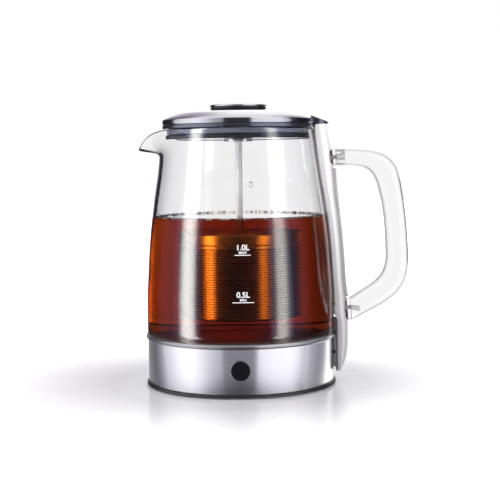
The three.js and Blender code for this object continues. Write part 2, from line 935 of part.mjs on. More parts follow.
function bondStrip() {
  const heights = spineHeights().filter((height) => height > bondFoot + overrun);
  heights.unshift(bondFoot);
  heights[heights.length - 1] = rimHeight - overrun;
  return strip(heights, bondHalfWidth, (height) => glassRadius(height) + fit, bondSheet);
}

function backingStrip() {
  const inner = collarRadius + beadRise + fit;
  const plate = strip([spineFoot, backingTop], backingHalfWidth, () => inner, backingSheet);
  const hole = bar(screwShank + fit, inner - overrun, inner + backingSheet + overrun, backScrewHeight);
  return shaped(plate, { cutters: [hole] });
}

function spineCap() {
  const side = new THREE.Shape();
  const seat = spineTop + fit;
  const step = arcPoint(spineInner(spineTop), spineHalfWidth, spineTop).x - fit;
  const rear = spineOuter(spineTop);
  side.moveTo(capFront, capTop);
  side.lineTo(capFront, rimTop + fit);
  side.lineTo(step, rimTop + fit);
  side.lineTo(step, seat);
  side.lineTo(rear, seat);
  side.lineTo(rear, capTop - capFall);
  const width = 2 * spineHalfWidth;
  const block = new THREE.ExtrudeGeometry(side, { depth: width, bevelEnabled: false });
  block.rotateX(Math.PI / 2).translate(0, spineHalfWidth, 0);
  const outline = spineFace(spineTop, 0);
  const ends = [rimTop - overrun, capTop + overrun];
  const rings = ends.map((height) => {
    const front = [1, -1].map((hand) => new THREE.Vector3(capFront - overrun, hand * spineHalfWidth, height));
    return [...outline.map((point) => point.clone().setZ(height)), ...front];
  });
  return common(block, skinned(rings));
}

// Handle and its seats

function handlePoint(reachShare, heightShare) {
  const height = THREE.MathUtils.lerp(handleFoot, handleTop, heightShare);
  const seat = spineOuter(height) + seatSheet + 2 * fit;
  return new THREE.Vector3(THREE.MathUtils.lerp(seat, handleReach, reachShare), 0, height);
}

function handleRing([outerReach, outerHeight, innerReach, innerHeight]) {
  const outer = handlePoint(outerReach, outerHeight);
  const inner = handlePoint(innerReach, innerHeight);
  const middle = outer.clone().lerp(inner, 1 / 2);
  const half = outer.clone().sub(middle);
  const power = 2 / handleRoundness;
  return around(handleSides, (angle) => {
    const [across, deep] = [Math.cos(angle), Math.sin(angle)].map((value) => {
      return Math.sign(value) * Math.abs(value) ** power;
    });
    return middle.clone().addScaledVector(half, across).setY(handleHalfDepth * deep);
  });
}

function handle() {
  const cutters = handleScrewHeights().map((height) => {
    const end = spineOuter(height) + seatSheet + 2 * fit + handleScrewBite + fit;
    return bar(screwShank + fit, spineInner(height), end, height);
  });
  return shaped(skinned(handleShares.map(handleRing)), { cutters });
}

// The pad between the spine and one end of the handle.
function handleSeat(row, screwHeight) {
  const end = handleRing(row);
  const rings = [fit, fit + seatDepth].map((back) => end.map((point) => point.clone().setX(point.x - back)));
  const hole = bar(screwShank + fit, spineInner(screwHeight), handleReach, screwHeight);
  return shaped(skinned(rings), { cutters: [spineBlank(fit), hole] });
}

// Lid

// Room for the spine cap in the lid's edge.
function capNotch() {
  const width = 2 * (spineHalfWidth + capSideGap);
  const depth = lidRadius;
  const height = lidRadius;
  const geometry = new THREE.BoxGeometry(depth, width, height);
  return geometry.translate(capFront - capSideGap + depth / 2, 0, capTop);
}

function lidDome() {
  const outer = domeShares.map(([radius, height]) => [lidRadius * radius, domeShoulder + domeRise * height]);
  const inner = outer.map(([radius, height]) => [radius - domeSheet, height - domeSheet]).reverse();
  const hole = bushNeck + fit;
  const section = [
    [lidRadius, domeFoot],
    ...outer,
    [hole, domeTop],
    [hole, domeTop - domeSheet],
    ...inner,
    [lidRadius - domeSheet, domeFoot],
  ];
  return shaped(turned(section), { cutters: [capNotch()] });
}

function lidBand() {
  const ring = turned([
    [lidWebInner, lidBandFoot],
    [lidRadius, lidBandFoot],
    [lidRadius, lidBandTop],
    [lidRadius - lidBandWall, lidBandTop],
    [lidRadius - lidBandWall, lidWebTop],
    [lidWebInner, lidWebTop],
  ]);
  const holes = around(lidScrews, (angle) => {
    const [x, y] = [-lidBossCircle * Math.cos(angle), lidBossCircle * Math.sin(angle)];
    return post(screwShank + fit, lidBandFoot - overrun, lidWebTop + overrun, x, y);
  });
  return shaped(ring, { cutters: [capNotch(), ...holes] });
}

function lidPlug() {
  const hole = bushRadius + looseFit;
  const grooveFoot = plugFoot + sealGrooveLift;
  const grooveTop = grooveFoot + sealGrooveHeight;
  const ring = turned([
    [hole, plugFoot],
    [plugRadius, plugFoot],
    [plugRadius, grooveFoot],
    [plugRadius - sealGrooveDepth, grooveFoot],
    [plugRadius - sealGrooveDepth, grooveTop],
    [plugRadius, grooveTop],
    [plugRadius, plugTop],
    [plugRadius - plugWall, plugTop],
    [plugRadius - plugWall, plugFloorTop],
    [hole, plugFloorTop],
  ]);
  const at = (angle) => [-lidBossCircle * Math.cos(angle), lidBossCircle * Math.sin(angle)];
  const bosses = around(lidScrews, (angle) => post(lidBossRadius, plugFloorTop - fit, plugTop, ...at(angle)));
  const holes = around(lidScrews, (angle) => {
    return post(screwShank + fit, lidWebTop - lidScrewLength, plugTop + overrun, ...at(angle));
  });
  return shaped(ring, { joined: bosses, cutters: holes });
}

function lidSeal() {
  const inner = plugRadius - sealGrooveDepth + fit;
  const foot = plugFoot + sealGrooveLift + fit;
  const top = foot + sealHeight;
  const shoulder = (inner + sealRadius) / 2;
  return turned([
    [inner, foot],
    [shoulder, foot],
    [sealRadius, (foot + top) / 2],
    [shoulder, top],
    [inner, top],
  ]);
}

function rodBush() {
  const bore = rodRadius + looseFit;
  const groove = bore + gripGrooveDepth;
  const grooveFoot = bushFoot + gripLift;
  const grooveTop = grooveFoot + gripHeight + 2 * fit;
  return turned(
    [
      [bore, bushFoot],
      [bushRadius, bushFoot],
      [bushRadius, bushFlangeTop - bushFlangeSheet],
      [bushFlange, bushFlangeTop - bushFlangeSheet],
      [bushFlange, bushFlangeTop],
      [bushNeck, bushFlangeTop],
      [bushNeck, bushTop],
      [bore, bushTop],
      [bore, grooveTop],
      [groove, grooveTop],
      [groove, grooveFoot],
      [bore, grooveFoot],
    ],
    bushSteps,
  );
}

function bushNut() {
  const foot = plugFoot - fit - bushNutHeight;
  const ring = [
    [bushRadius + fit, foot],
    [bushNutRadius, foot],
    [bushNutRadius, foot + bushNutHeight],
    [bushRadius + fit, foot + bushNutHeight],
  ];
  return turned(ring, middleSteps);
}

function gripRing() {
  const inner = rodRadius + fit;
  const outer = rodRadius + looseFit + gripGrooveDepth - fit;
  const foot = bushFoot + gripLift + fit;
  return turned(
    [
      [inner, foot + gripHeight / 3],
      [(inner + outer) / 2, foot],
      [outer, foot + gripHeight / 3],
      [outer, foot + (2 * gripHeight) / 3],
      [(inner + outer) / 2, foot + gripHeight],
      [inner, foot + (2 * gripHeight) / 3],
    ],
    smallSteps,
  );
}

// Knob, rod and strainer

function knobCap() {
  return turned([
    [0, knobTop - knobDish],
    [knobRadius - knobCrownInset, knobTop],
    [knobRadius - knobBevel, knobTop - knobDish],
    [knobRadius, knobTop - knobBevel],
    [knobRadius, knobCapFoot],
    [0, knobCapFoot],
  ]);
}

function knobBase() {
  const radius = knobRadius - knobBaseInset;
  return turned([
    [0, knobBaseTop],
    [radius, knobBaseTop],
    [radius, knobBaseTop - knobBaseSheet / 2],
    [radius - knobBevel, knobBaseFoot],
    [rodRadius + fit, knobBaseFoot],
    [rodRadius + fit, knobBaseFoot + rodSocketDepth],
    [0, knobBaseFoot + rodSocketDepth],
  ]);
}

function liftRod() {
  const shoulderTop = shoulderFoot + rodShoulderSheet;
  return turned(
    [
      [0, rodTop],
      [rodRadius, rodTop],
      [rodRadius, shoulderTop],
      [rodShoulder, shoulderTop],
      [rodShoulder, shoulderFoot],
      [rodRadius, shoulderFoot],
      [rodRadius, rodEnd],
      [0, rodEnd],
    ],
    smallSteps,
  );
}

function strainerCap() {
  const inner = strainerRadius - strainerSheet;
  const hole = rodRadius + fit;
  const cap = turned([
    [hole, strainerTop - strainerSheet],
    [inner, strainerTop - strainerSheet],
    [inner, capSkirtFoot],
    [strainerRadius, capSkirtFoot],
    [strainerRadius, strainerTop - strainerSheet / 2],
    [strainerRadius - strainerSheet / 2, strainerTop],
    [hole, strainerTop],
  ], middleSteps);
  const holes = around(flowHoles, (angle) => {
    const [x, y] = [flowHoleCircle * Math.cos(angle), flowHoleCircle * Math.sin(angle)];
    return post(flowHoleRadius, strainerTop - overrun, strainerTop + overrun, x, y);
  });
  return shaped(cap, { cutters: holes });
}

function rodNut() {
  const hole = post(rodRadius + fit, nutTop - nutHeight - overrun, nutTop + overrun);
  return shaped(post(nutRadius, nutTop - nutHeight, nutTop, 0, 0, nutSides), { cutters: [hole] });
}

function strainerRim() {
  const neck = strainerRadius - strainerSheet - looseFit;
  const inner = neck - strainerSheet;
  return turned([
    [inner, rimTopOfCup - rimSheet],
    [strainerRadius, rimTopOfCup - rimSheet],
    [strainerRadius, rimTopOfCup],
    [neck, rimTopOfCup],
    [neck, rimTopOfCup + rimNeckHeight],
    [inner, rimTopOfCup + rimNeckHeight],
  ], middleSteps);
}

function strainerMesh() {
  const inner = strainerRadius - meshSheet;
  const wall = turned([
    [inner, meshFoot],
    [strainerRadius, meshFoot],
    [strainerRadius, meshTop],
    [inner, meshTop],
  ], middleSteps);
  const rowStep = (meshTop - meshFoot) / (slotRows + 1);
  const columnStep = (2 * Math.PI) / slotColumns;
  const slots = [];
  for (let row = 1; row <= slotRows; row += 1) {
    for (let column = 0; column < slotColumns; column += 1) {
      const slot = new THREE.BoxGeometry(strainerRadius / 2, slotWidth, slotHeight);
      slot.translate(strainerRadius, 0, meshFoot + row * rowStep);
      slots.push(slot.rotateZ((column + row / 2) * columnStep));
    }
  }
  return shaped(wall, { cutters: slots });
}

function strainerFloor() {
  return turned([
    [0, strainerFoot + fit],
    [strainerRadius / 2, strainerFoot],
    [strainerRadius - strainerSheet, strainerFoot],
    [strainerRadius, strainerFoot + strainerSheet],
    [0, strainerFoot + strainerSheet + fit / 2],
  ], middleSteps);
}

// Assembly

function add(group, name, geometry, finish, position = [0, 0, 0], rotation = [0, 0, 0]) {
  const material = new THREE.MeshStandardMaterial({ ...finishes[finish], flatShading: true });
  const piece = new THREE.Mesh(toGeometry(toSolid(geometry)), material);
  piece.name = name;
  piece.position.set(...position);
  piece.rotation.set(...rotation);
  group.add(piece);
}

function addBase(kettle) {
  add(kettle, "foot_ring", footRing(), "blackPlastic");
  add(kettle, "base_cover", baseCover(), "blackPlastic");
  add(kettle, "cradle", cradle(), "darkPlastic");
  add(kettle, "collar", collar(), "brushedSteel");
  add(kettle, "badge", badge(), "blackGloss", [0, 0, badgeHeight]);
  around(baseScrews, (angle, index) => {
    const place = [bossCircle * Math.cos(angle), bossCircle * Math.sin(angle), coverLift - fit];
    add(kettle, `base_screw_${index + 1}`, screw(baseScrewLength), "brushedSteel", place);
  });
}

function addHeater(kettle) {
  add(kettle, "floor_plate", floorPlate(), "brushedSteel");
  add(kettle, "floor_seal", floorSeal(), "paleSilicone");
  add(kettle, "heat_spreader", heatSpreader(), "aluminium");
  add(kettle, "heating_element", elementRing(), "aluminium");
  [1, -1].forEach((side, index) => {
    const discPlace = [(side * discSpacing) / 2, 0, controlTop + fit];
    add(kettle, `element_pin_${index + 1}`, elementPin(side), "brass");
    add(kettle, `lead_${index + 1}`, lead(side), "blackPlastic");
    add(kettle, `bimetal_disc_${index + 1}`, bimetalDisc(), "brass", discPlace);
  });
  add(kettle, "sensor_probe", sensorProbe(), "polishedSteel");
  add(kettle, "control_body", controlBody(), "blackPlastic");
  add(kettle, "socket_housing", socketHousing(), "blackPlastic");
  add(kettle, "centre_contact", centreContact(), "brass");
  add(kettle, "ring_contact", ringContact(), "brass");
}

function addBack(kettle) {
  const [upper, lower] = handleScrewHeights();
  const rows = [handleShares[0], handleShares[handleShares.length - 1]];
  add(kettle, "spine_cover", spineCover(), "pearl");
  add(kettle, "spine_backing", backingStrip(), "darkPlastic");
  add(kettle, "bond_strip", bondStrip(), "clearPlastic");
  add(kettle, "spine_cap", spineCap(), "darkSteel");
  add(kettle, "handle", handle(), "clearPlastic");
  add(kettle, "handle_seat_upper", handleSeat(rows[0], upper), "darkPlastic");
  add(kettle, "handle_seat_lower", handleSeat(rows[1], lower), "darkPlastic");
  const sideways = [0, Math.PI / 2, 0];
  [upper, lower].forEach((height, index) => {
    const headFace = spineInner(height) + fit + screwHeadHeight;
    const length = spineOuter(height) + seatSheet + 2 * fit + handleScrewBite - headFace;
    const name = index === 0 ? "handle_screw_upper" : "handle_screw_lower";
    add(kettle, name, screw(length), "brushedSteel", [headFace, 0, height], sideways);
  });
  const backHead = cradleRadius - cradleWall - fit;
  const backLength = spineInner(backScrewHeight) + backScrewBite - backHead;
  add(kettle, "spine_screw", screw(backLength), "brushedSteel", [backHead, 0, backScrewHeight], sideways);
}

function addLid(kettle) {
  add(kettle, "lid_dome", lidDome(), "polishedSteel");
  add(kettle, "lid_band", lidBand(), "darkSteel");
  add(kettle, "lid_plug", lidPlug(), "plugPlastic");
  add(kettle, "lid_seal", lidSeal(), "silicone");
  add(kettle, "rod_bush", rodBush(), "darkPlastic");
  add(kettle, "bush_nut", bushNut(), "brushedSteel");
  add(kettle, "grip_ring", gripRing(), "silicone");
  around(lidScrews, (angle, index) => {
    const [x, y] = [-lidBossCircle * Math.cos(angle), lidBossCircle * Math.sin(angle)];
    const place = [x, y, lidWebTop + fit];
    const piece = screw(lidScrewLength - fit);
    add(kettle, `lid_screw_${index + 1}`, piece, "brushedSteel", place, [Math.PI, 0, 0]);
  });
}

function addInfuser(kettle) {
  add(kettle, "knob_cap", knobCap(), "polishedSteel");
  add(kettle, "knob_base", knobBase(), "blackPlastic");
  add(kettle, "lift_rod", liftRod(), "polishedSteel");
  add(kettle, "strainer_cap", strainerCap(), "brushedSteel");
  add(kettle, "rod_nut", rodNut(), "brushedSteel");
  add(kettle, "strainer_rim", strainerRim(), "brushedSteel");
  add(kettle, "strainer_mesh", strainerMesh(), "brushedSteel");
  add(kettle, "strainer_floor", strainerFloor(), "brushedSteel");
}

const kettle = new THREE.Group();
add(kettle, "glass_jug", glassJug(), "glass");
addBase(kettle);
addHeater(kettle);
addBack(kettle);
addLid(kettle);
addInfuser(kettle);

// The origin is at the middle of the whole outline, on the table.
const outline = new THREE.Box3().setFromObject(kettle);
kettle.position.x = -(outline.min.x + outline.max.x) / 2;

const model = new THREE.Group();
model.add(kettle);
export default model;
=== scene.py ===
"""Looks for a cordless glass tea kettle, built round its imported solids.

Lengths are in metres. +Z is up, the handle points to +X, the spout to -X, and the camera stands at -Y.
"""

import json
import random
from math import asin, copysign, cos, degrees, hypot, pi, radians, sin, sqrt, tan

import bmesh
import bpy
from mathutils import Euler, Matrix, Vector

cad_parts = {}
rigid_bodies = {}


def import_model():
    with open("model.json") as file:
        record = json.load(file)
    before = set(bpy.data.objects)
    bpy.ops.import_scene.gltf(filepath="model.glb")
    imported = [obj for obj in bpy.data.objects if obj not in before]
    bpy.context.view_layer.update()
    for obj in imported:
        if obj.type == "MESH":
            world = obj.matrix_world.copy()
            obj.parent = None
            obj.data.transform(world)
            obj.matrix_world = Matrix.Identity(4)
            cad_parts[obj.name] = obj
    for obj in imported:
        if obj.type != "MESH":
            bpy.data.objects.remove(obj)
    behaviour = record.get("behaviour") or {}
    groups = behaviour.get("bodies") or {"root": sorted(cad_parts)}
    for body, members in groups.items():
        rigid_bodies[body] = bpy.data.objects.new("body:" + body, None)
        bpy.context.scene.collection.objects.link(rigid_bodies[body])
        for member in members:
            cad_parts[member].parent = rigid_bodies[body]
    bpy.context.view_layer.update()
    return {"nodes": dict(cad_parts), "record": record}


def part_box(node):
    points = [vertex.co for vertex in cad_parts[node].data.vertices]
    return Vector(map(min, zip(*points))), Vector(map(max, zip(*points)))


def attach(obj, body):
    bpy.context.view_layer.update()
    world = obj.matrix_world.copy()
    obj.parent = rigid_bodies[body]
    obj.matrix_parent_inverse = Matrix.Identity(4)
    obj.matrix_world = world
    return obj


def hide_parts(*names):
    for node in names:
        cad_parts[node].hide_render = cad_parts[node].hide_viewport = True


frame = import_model()

MM = 0.001
SEED = 7

# Glass jug, as in the part's source
BODY_RADIUS = 71.8 * MM
RIM_RADIUS = 57.6 * MM
RIM_TOP = 194.4 * MM
GLASS_WALL = 2.6 * MM
FOOT_CORNER = 9 * MM
FLOOR_CORNER = 8 * MM
FLOOR_HEIGHT = 36 * MM
GLASS_FOOT = 32 * MM
THROAT_RADIUS = 60.8 * MM
SHOULDER = GLASS_FOOT + FOOT_CORNER
RIM_HEIGHT = RIM_TOP - GLASS_WALL / 2
# How far up the wall, and how much of the narrowing from body to rim is reached there
TAPER_SHARES = [
    (0, 0), (0.16, 0.01), (0.28, 0.08), (0.4, 0.16), (0.52, 0.28), (0.64, 0.45), (0.79, 0.7), (0.9, 0.87), (1, 1),
]

# Spout
SPOUT_REACH = RIM_RADIUS + 19 * MM
SPOUT_TIP = RIM_TOP - 15.8 * MM
SPOUT_FOOT = RIM_TOP - 33.4 * MM
SPOUT_SPREAD = radians(41)
SPOUT_FOOT_SPREAD = radians(16)
SPOUT_TIP_SPREAD = radians(3)
SPOUT_DROP_SHARE = 0.25
# Height share on the plain wall, share of the reach, share of the tip's height
SPOUT_LINE_SHARES = [
    (0, 0, 0), (0.25, 0.02, 0.4), (0.42, 0.045, 0.71), (0.55, 0.16, 0.85), (0.7, 0.43, 0.915), (0.85, 0.73, 0.955),
    (1, 1, 1),
]

# Tea, and how far its skin lies inside the glass so that no air is left between them
TEA_LEVEL = 128 * MM
TEA_LAP = 0.4 * MM
MENISCUS_RISE = 1.3 * MM
MENISCUS_WIDTH = 3 * MM
TEA_DENSITY = 100
TEA_COLOUR = (0.855, 0.634, 0.21, 1)
# Balls along its edge: how many, and their sizes and heights above it in millimetres
BUBBLES = (170, (0.35, 0.95), (0.5, 0.5))
FOAM = (180, (0.3, 0.75), (0.3, 1.1))
DROP_HEIGHT = 153.4 * MM
DROP_ANGLE = radians(98)
DROP_SIZE = (1.5 * MM, 2.2 * MM, 0.8 * MM)

# Collar and its bead
COLLAR_RADIUS = 71.5 * MM
BEAD_RISE = 1.5 * MM

# Spine and handle
SPINE_FOOT = 9.2 * MM
SPINE_DEPTH = 11.2 * MM
SPINE_HALF_WIDTH = 12 * MM
SPINE_EDGE = 2 * MM
SPINE_ROUNDNESS = 2.6
BOND_SHEET = 0.8 * MM
FIT = 0.3 * MM
BACKING_SHEET = 1.2 * MM
BACKING_TOP = 48 * MM
# How high above the backing strip the spine's back reaches the glass
STEP_HEIGHT = 2.6 * MM
# Height share up the spine, and share of its depth behind the glass
SPINE_SHARES = [
    (0, 0.33), (0.01, 0.55), (0.028, 0.735), (0.055, 0.87), (0.09, 0.96), (0.13, 1), (0.18, 1), (0.28, 0.877),
    (0.365, 0.768), (0.53, 0.778), (0.69, 0.813), (0.895, 1.047), (1, 0.979),
]
HANDLE_REACH = BODY_RADIUS + 57.3 * MM
HANDLE_TOP = RIM_TOP - 15.8 * MM
HANDLE_FOOT = 46.8 * MM
HANDLE_HALF_DEPTH = 10.5 * MM
HANDLE_ROUNDNESS = 3.0
SEAT_SHEET = 1.8 * MM
# Outer reach, outer height, inner reach and inner height
HANDLE_SHARES = [
    (0, 1, 0, 0.904), (0.205, 0.997, 0.19, 0.903), (0.4, 0.991, 0.36, 0.892), (0.59, 0.976, 0.46, 0.87),
    (0.725, 0.946, 0.52, 0.838), (0.825, 0.897, 0.56, 0.798), (0.882, 0.825, 0.585, 0.753),
    (0.925, 0.722, 0.61, 0.699), (0.963, 0.601, 0.636, 0.593), (0.987, 0.48, 0.646, 0.472),
    (1, 0.366, 0.646, 0.379), (0.987, 0.297, 0.628, 0.328), (0.934, 0.229, 0.583, 0.284),
    (0.824, 0.168, 0.502, 0.247), (0.655, 0.119, 0.371, 0.209), (0.416, 0.071, 0.208, 0.175),
    (0.185, 0.032, 0.09, 0.15), (0, 0, 0, 0.132),
]

# Level marks on the front of the glass: words, small word, height of the line, length of the line
MARKS = [("1.0L", "MAX", 103.3 * MM, 11.5 * MM), ("0.5L", "MIN", 69.6 * MM, 15.5 * MM)]
MARK_OFFSET = 2.4 * MM

# Camera, by its place from the jug's axis and its tilt
CAMERA_ASIDE = 7.7 * MM
CAMERA_DISTANCE = 906 * MM
CAMERA_HEIGHT = 170.6 * MM
CAMERA_PITCH = radians(4.2)
CAMERA_ROLL = radians(-0.7)
CAMERA_LENS = 85

# Steps round a turned piece
WIDE_STEPS = 192
MIDDLE_STEPS = 96
SMALL_STEPS = 48

# Looks
WHITE = (1, 1, 1, 1)
# Turn of the grain, so that it runs round the axis
QUARTER = 0.25
ROW_PITCH = 1.8 * MM
SLOT_LENGTH = 6 * MM
# How far down from its top the collar has painted shade
PAINTED_SHADE_BAND = 3.2 * MM
# Painted shade on the floor round the jug: how far from the axis the floor's own light starts, and where it is full
FLOOR_PAINTED_SHADE = (100 * MM, 290 * MM)


def extent(node):
    """A round CAD node's radius, foot and top."""
    low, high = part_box(node)
    return (high.y - low.y) / 2, low.z, high.z


def middle(node):
    low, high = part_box(node)
    return (low + high) / 2


AXIS = middle("foot_ring").x
record = frame["record"]
slot_of = {part["node"]: part["material_slot"] for part in record["subparts"]}
body_of = {node: body for body, nodes in record["behaviour"]["bodies"].items() for node in nodes}


# Curves and meshes

class Curve:
    """A smooth curve through rows of a place and its values, without overshoot."""

    def __init__(self, rows, column=1):
        self.at = [row[0] for row in rows]
        self.value = [row[column] for row in rows]
        steps = [b - a for a, b in zip(self.at, self.at[1:])]
        slopes = [(b - a) / step for a, b, step in zip(self.value, self.value[1:], steps)]
        inner = [0 if a * b <= 0 else 2 * a * b / (a + b) for a, b in zip(slopes, slopes[1:])]
        self.slope = [slopes[0], *inner, slopes[-1]]

    def __call__(self, at):
        at = min(max(at, self.at[0]), self.at[-1])
        row = max(index for index, start in enumerate(self.at[:-1]) if start <= at)
        step = self.at[row + 1] - self.at[row]
        t = (at - self.at[row]) / step
        rise = self.value[row + 1] - self.value[row]
        start, end = self.slope[row] * step, self.slope[row + 1] * step
        return self.value[row] + t * (start + t * (3 * rise - 2 * start - end + t * (start + end - 2 * rise)))


def spread(start, end, count):
    """Numbers from start to end, evenly spaced."""
    return [start + (end - start) * index / (count - 1) for index in range(count)]


def distances(points):
    """How far along a line each of its points lies."""
    along = [0.0]
    for a, b in zip(points, points[1:]):
        along.append(along[-1] + (b - a).length)
    return along


def turns_round(count):
    """Turns that share a circle evenly."""
    return spread(0, 2 * pi, count + 1)[:-1]


def bulged(turn, roundness):
    """A circle's point at a turn, pushed outwards towards a square."""
    return [copysign(abs(part) ** (2 / roundness), part) for part in (cos(turn), sin(turn))]


def placed(name, data):
    """An object of some data, in the scene."""
    holder = bpy.data.objects.new(name, data)
    bpy.context.scene.collection.objects.link(holder)
    return holder


def finished(name, bm, sharp=38):
    """Makes an object of a mesh, smooth but for edges that turn by so many degrees."""
    bmesh.ops.remove_doubles(bm, verts=bm.verts, dist=1e-7)
    bmesh.ops.recalc_face_normals(bm, faces=bm.faces)
    for face in bm.faces:
        face.smooth = True
    for edge in bm.edges:
        edge.smooth = len(edge.link_faces) != 2 or edge.calc_face_angle(0) < radians(sharp)
    mesh = bpy.data.meshes.new(name)
    bm.to_mesh(mesh)
    bm.free()
    return placed(name, mesh)


def woven(bm, layer, grid, counts, corners, place):
    """Faces between neighbours in a grid of points that runs back to its start, each with its four corners in a
    given order and their places on the unrolled surface."""
    for first in range(counts[0]):
        for second in range(counts[1]):
            here = [(first + a, second + b) for a, b in corners]
            face = bm.faces.new([grid[a % len(grid)][b % len(grid[0])] for a, b in here])
            for loop, corner in zip(face.loops, here):
                loop[layer].uv = place(*corner)


def skin(name, rings, closed=False, sharp=38):
    """Skins closed rings that hold as many points each. A closed skin runs back to the first ring."""
    bm = bmesh.new()
    layer = bm.loops.layers.uv.new("UVMap")
    verts = [[bm.verts.new(point) for point in ring] for ring in rings]
    widest = max(rings, key=lambda ring: distances(ring)[-1])
    across = distances([*widest, widest[0]])
    along = distances([ring[0] for ring in [*rings, rings[0]]])
    counts = (len(rings) if closed else len(rings) - 1, len(rings[0]))
    woven(bm, layer, verts, counts, [(0, 0), (0, 1), (1, 1), (1, 0)], lambda row, side: (across[side], along[row]))
    if not closed:
        bm.faces.new(verts[0])
        bm.faces.new(verts[-1])
    return finished(name, bm, sharp)


def turned(name, section, steps=WIDE_STEPS, sharp=38):
    """Turns a half section of radius and height pairs round the jug's axis, closed on itself off the axis."""
    bm = bmesh.new()
    layer = bm.loops.layers.uv.new("UVMap")
    points = [*section, section[0]] if section[0][0] > 0 else section
    along = distances([Vector(point) for point in points])
    widest = max(radius for radius, _ in section)
    turns = spread(0, 2 * pi, steps + 1)
    verts = [[bm.verts.new((AXIS + r * sin(turn), -r * cos(turn), z)) for r, z in section] for turn in turns[:-1]]
    counts = (steps, len(points) - 1)
    corners = [(0, 0), (1, 0), (1, 1), (0, 1)]
    woven(bm, layer, verts, counts, corners, lambda side, row: (turns[side] * widest, along[row]))
    return finished(name, bm, sharp)


def eased(section, radius, closed=True, steps=4):
    """Rounds the corners of a half section, as far as its edges leave room, but not those on the axis."""
    points = [Vector(point) for point in section]
    last = len(points) - 1
    made = []
    for index, point in enumerate(points):
        if not closed and index in (0, last):
            made.append(tuple(point))
            continue
        before, after = points[index - 1] - point, points[(index + 1) % len(points)] - point
        room = min(radius, 0.45 * before.length, 0.45 * after.length)
        start, end = point + before.normalized() * room, point + after.normalized() * room
        for share in spread(0, 1, steps):
            first, second = start.lerp(point, share), point.lerp(end, share)
            made.append(tuple(first.lerp(second, share)))
    return made


def cut(piece, cutters):
    """Takes the cutters away from a piece and deletes them."""
    for cutter in cutters:
        modifier = piece.modifiers.new("cut", "BOOLEAN")
        modifier.operation = "DIFFERENCE"
        modifier.solver = "EXACT"
        modifier.object = cutter
    bpy.context.view_layer.update()
    depsgraph = bpy.context.evaluated_depsgraph_get()
    mesh = bpy.data.meshes.new_from_object(piece.evaluated_get(depsgraph))
    piece.modifiers.clear()
    piece.data = mesh
    for cutter in cutters:
        bpy.data.objects.remove(cutter)
    return piece


def box_cutter(low, high):
    bm = bmesh.new()
    bmesh.ops.create_cube(bm, size=1)
    centre, size = (Vector(low) + Vector(high)) / 2, Vector(high) - Vector(low)
    bmesh.ops.transform(bm, matrix=Matrix.Translation(centre) @ Matrix.Diagonal((*size, 1)), verts=bm.verts)
    return finished("cutter", bm)


def post_cutter(radius, x, y, foot, top):
    bm = bmesh.new()
    place = Matrix.Translation((x, y, (foot + top) / 2))
    bmesh.ops.create_cone(
        bm, segments=SMALL_STEPS, radius1=radius, radius2=radius, depth=top - foot, cap_ends=True, matrix=place,
    )
    return finished("cutter", bm)


# Materials

class Nodes:
    """A short way to add nodes to the tree of a material, world or lamp."""

    def __init__(self, tree):
        self.tree = tree

    def add(self, kind, inputs=None, **settings):
        node = self.tree.nodes.new("ShaderNode" + kind)
        for key, value in settings.items():
            setattr(node, key, value)
        for key, value in (inputs or {}).items():
            self.put(node.inputs[key], value)
        return node

    def put(self, socket, value):
        if isinstance(value, bpy.types.NodeSocket):
            self.tree.links.new(value, socket)
        else:
            socket.default_value = value

    def axes(self, source="Object"):
        """The X, Y and Z of a place, on the object's own axes or on its unrolled surface."""
        return self.add("SeparateXYZ", {0: self.add("TexCoord").outputs[source]}).outputs

    def sum(self, operation, first, second=0.5):
        return self.add("Math", {0: first, 1: second}, operation=operation).outputs[0]

    def ramp(self, value, low, high, start=0.3, end=0.7, **settings):
        """Takes a value from start to end onto a number from low to high."""
        inputs = {"Value": value, "From Min": start, "From Max": end, "To Min": low, "To Max": high}
        return self.add("MapRange", inputs, **settings).outputs["Result"]

    def mixed(self, value, first, second):
        """Mixes two colours by a value."""
        return self.add("Mix", {0: value, 6: first, 7: second}, data_type="RGBA").outputs[2]

    def levels(self, value, rows):
        """Brightness by a value from 0 to 1, in rows of place and level."""
        highest = max(level for _, level in rows)
        ramp = self.add("ValToRGB", {0: value})
        stops = ramp.color_ramp.elements
        stops.remove(stops[-1])
        for index, (place, level) in enumerate(rows):
            stop = stops[0] if index == 0 else stops.new(place)
            stop.position = place
            stop.color = (*[level / highest] * 3, 1)
        return self.sum("MULTIPLY", ramp.outputs[0], highest)


class Shader(Nodes):
    """A material, with its nodes and its main shader."""

    def __init__(self, name):
        self.material = bpy.data.materials.new(name)
        self.material.use_nodes = True
        super().__init__(self.material.node_tree)
        self.main = self.tree.nodes["Principled BSDF"]

    def set(self, **values):
        """Sets the main shader's sockets by their names, with an underscore for each space."""
        for key, value in values.items():
            self.put(self.main.inputs[key.replace("_", " ")], value)

    def noise(self, scale, stretch=(1, 1, 1), source="Object", detail=3):
        """Noise with so many waves a metre, on the object's own axes or on its unrolled surface."""
        places = self.add("TexCoord").outputs[source]
        mapped = self.add("Mapping", {"Vector": places, "Scale": stretch}).outputs[0]
        return self.add("TexNoise", {"Vector": mapped, "Scale": scale, "Detail": detail}).outputs["Fac"]

    def between(self, value, dark, light):
        return self.mixed(value, (*dark, 1), (*light, 1))

    def brush(self, anisotropy):
        """Makes it metal that is brushed round the axis."""
        tangent = self.add("Tangent", direction_type="RADIAL", axis="Z").outputs[0]
        self.set(Metallic=1.0, Anisotropic=anisotropy, Anisotropic_Rotation=QUARTER, Tangent=tangent)

    def bump(self, height, depth, strength=1.0):
        """Bumps the surface by a height from 0 to 1 times a depth."""
        bump = self.add("Bump", {"Height": height, "Distance": depth, "Strength": strength})
        self.put(self.main.inputs["Normal"], bump.outputs[0])


def shade(colour, factor):
    return tuple(min(1, part * factor) for part in colour)


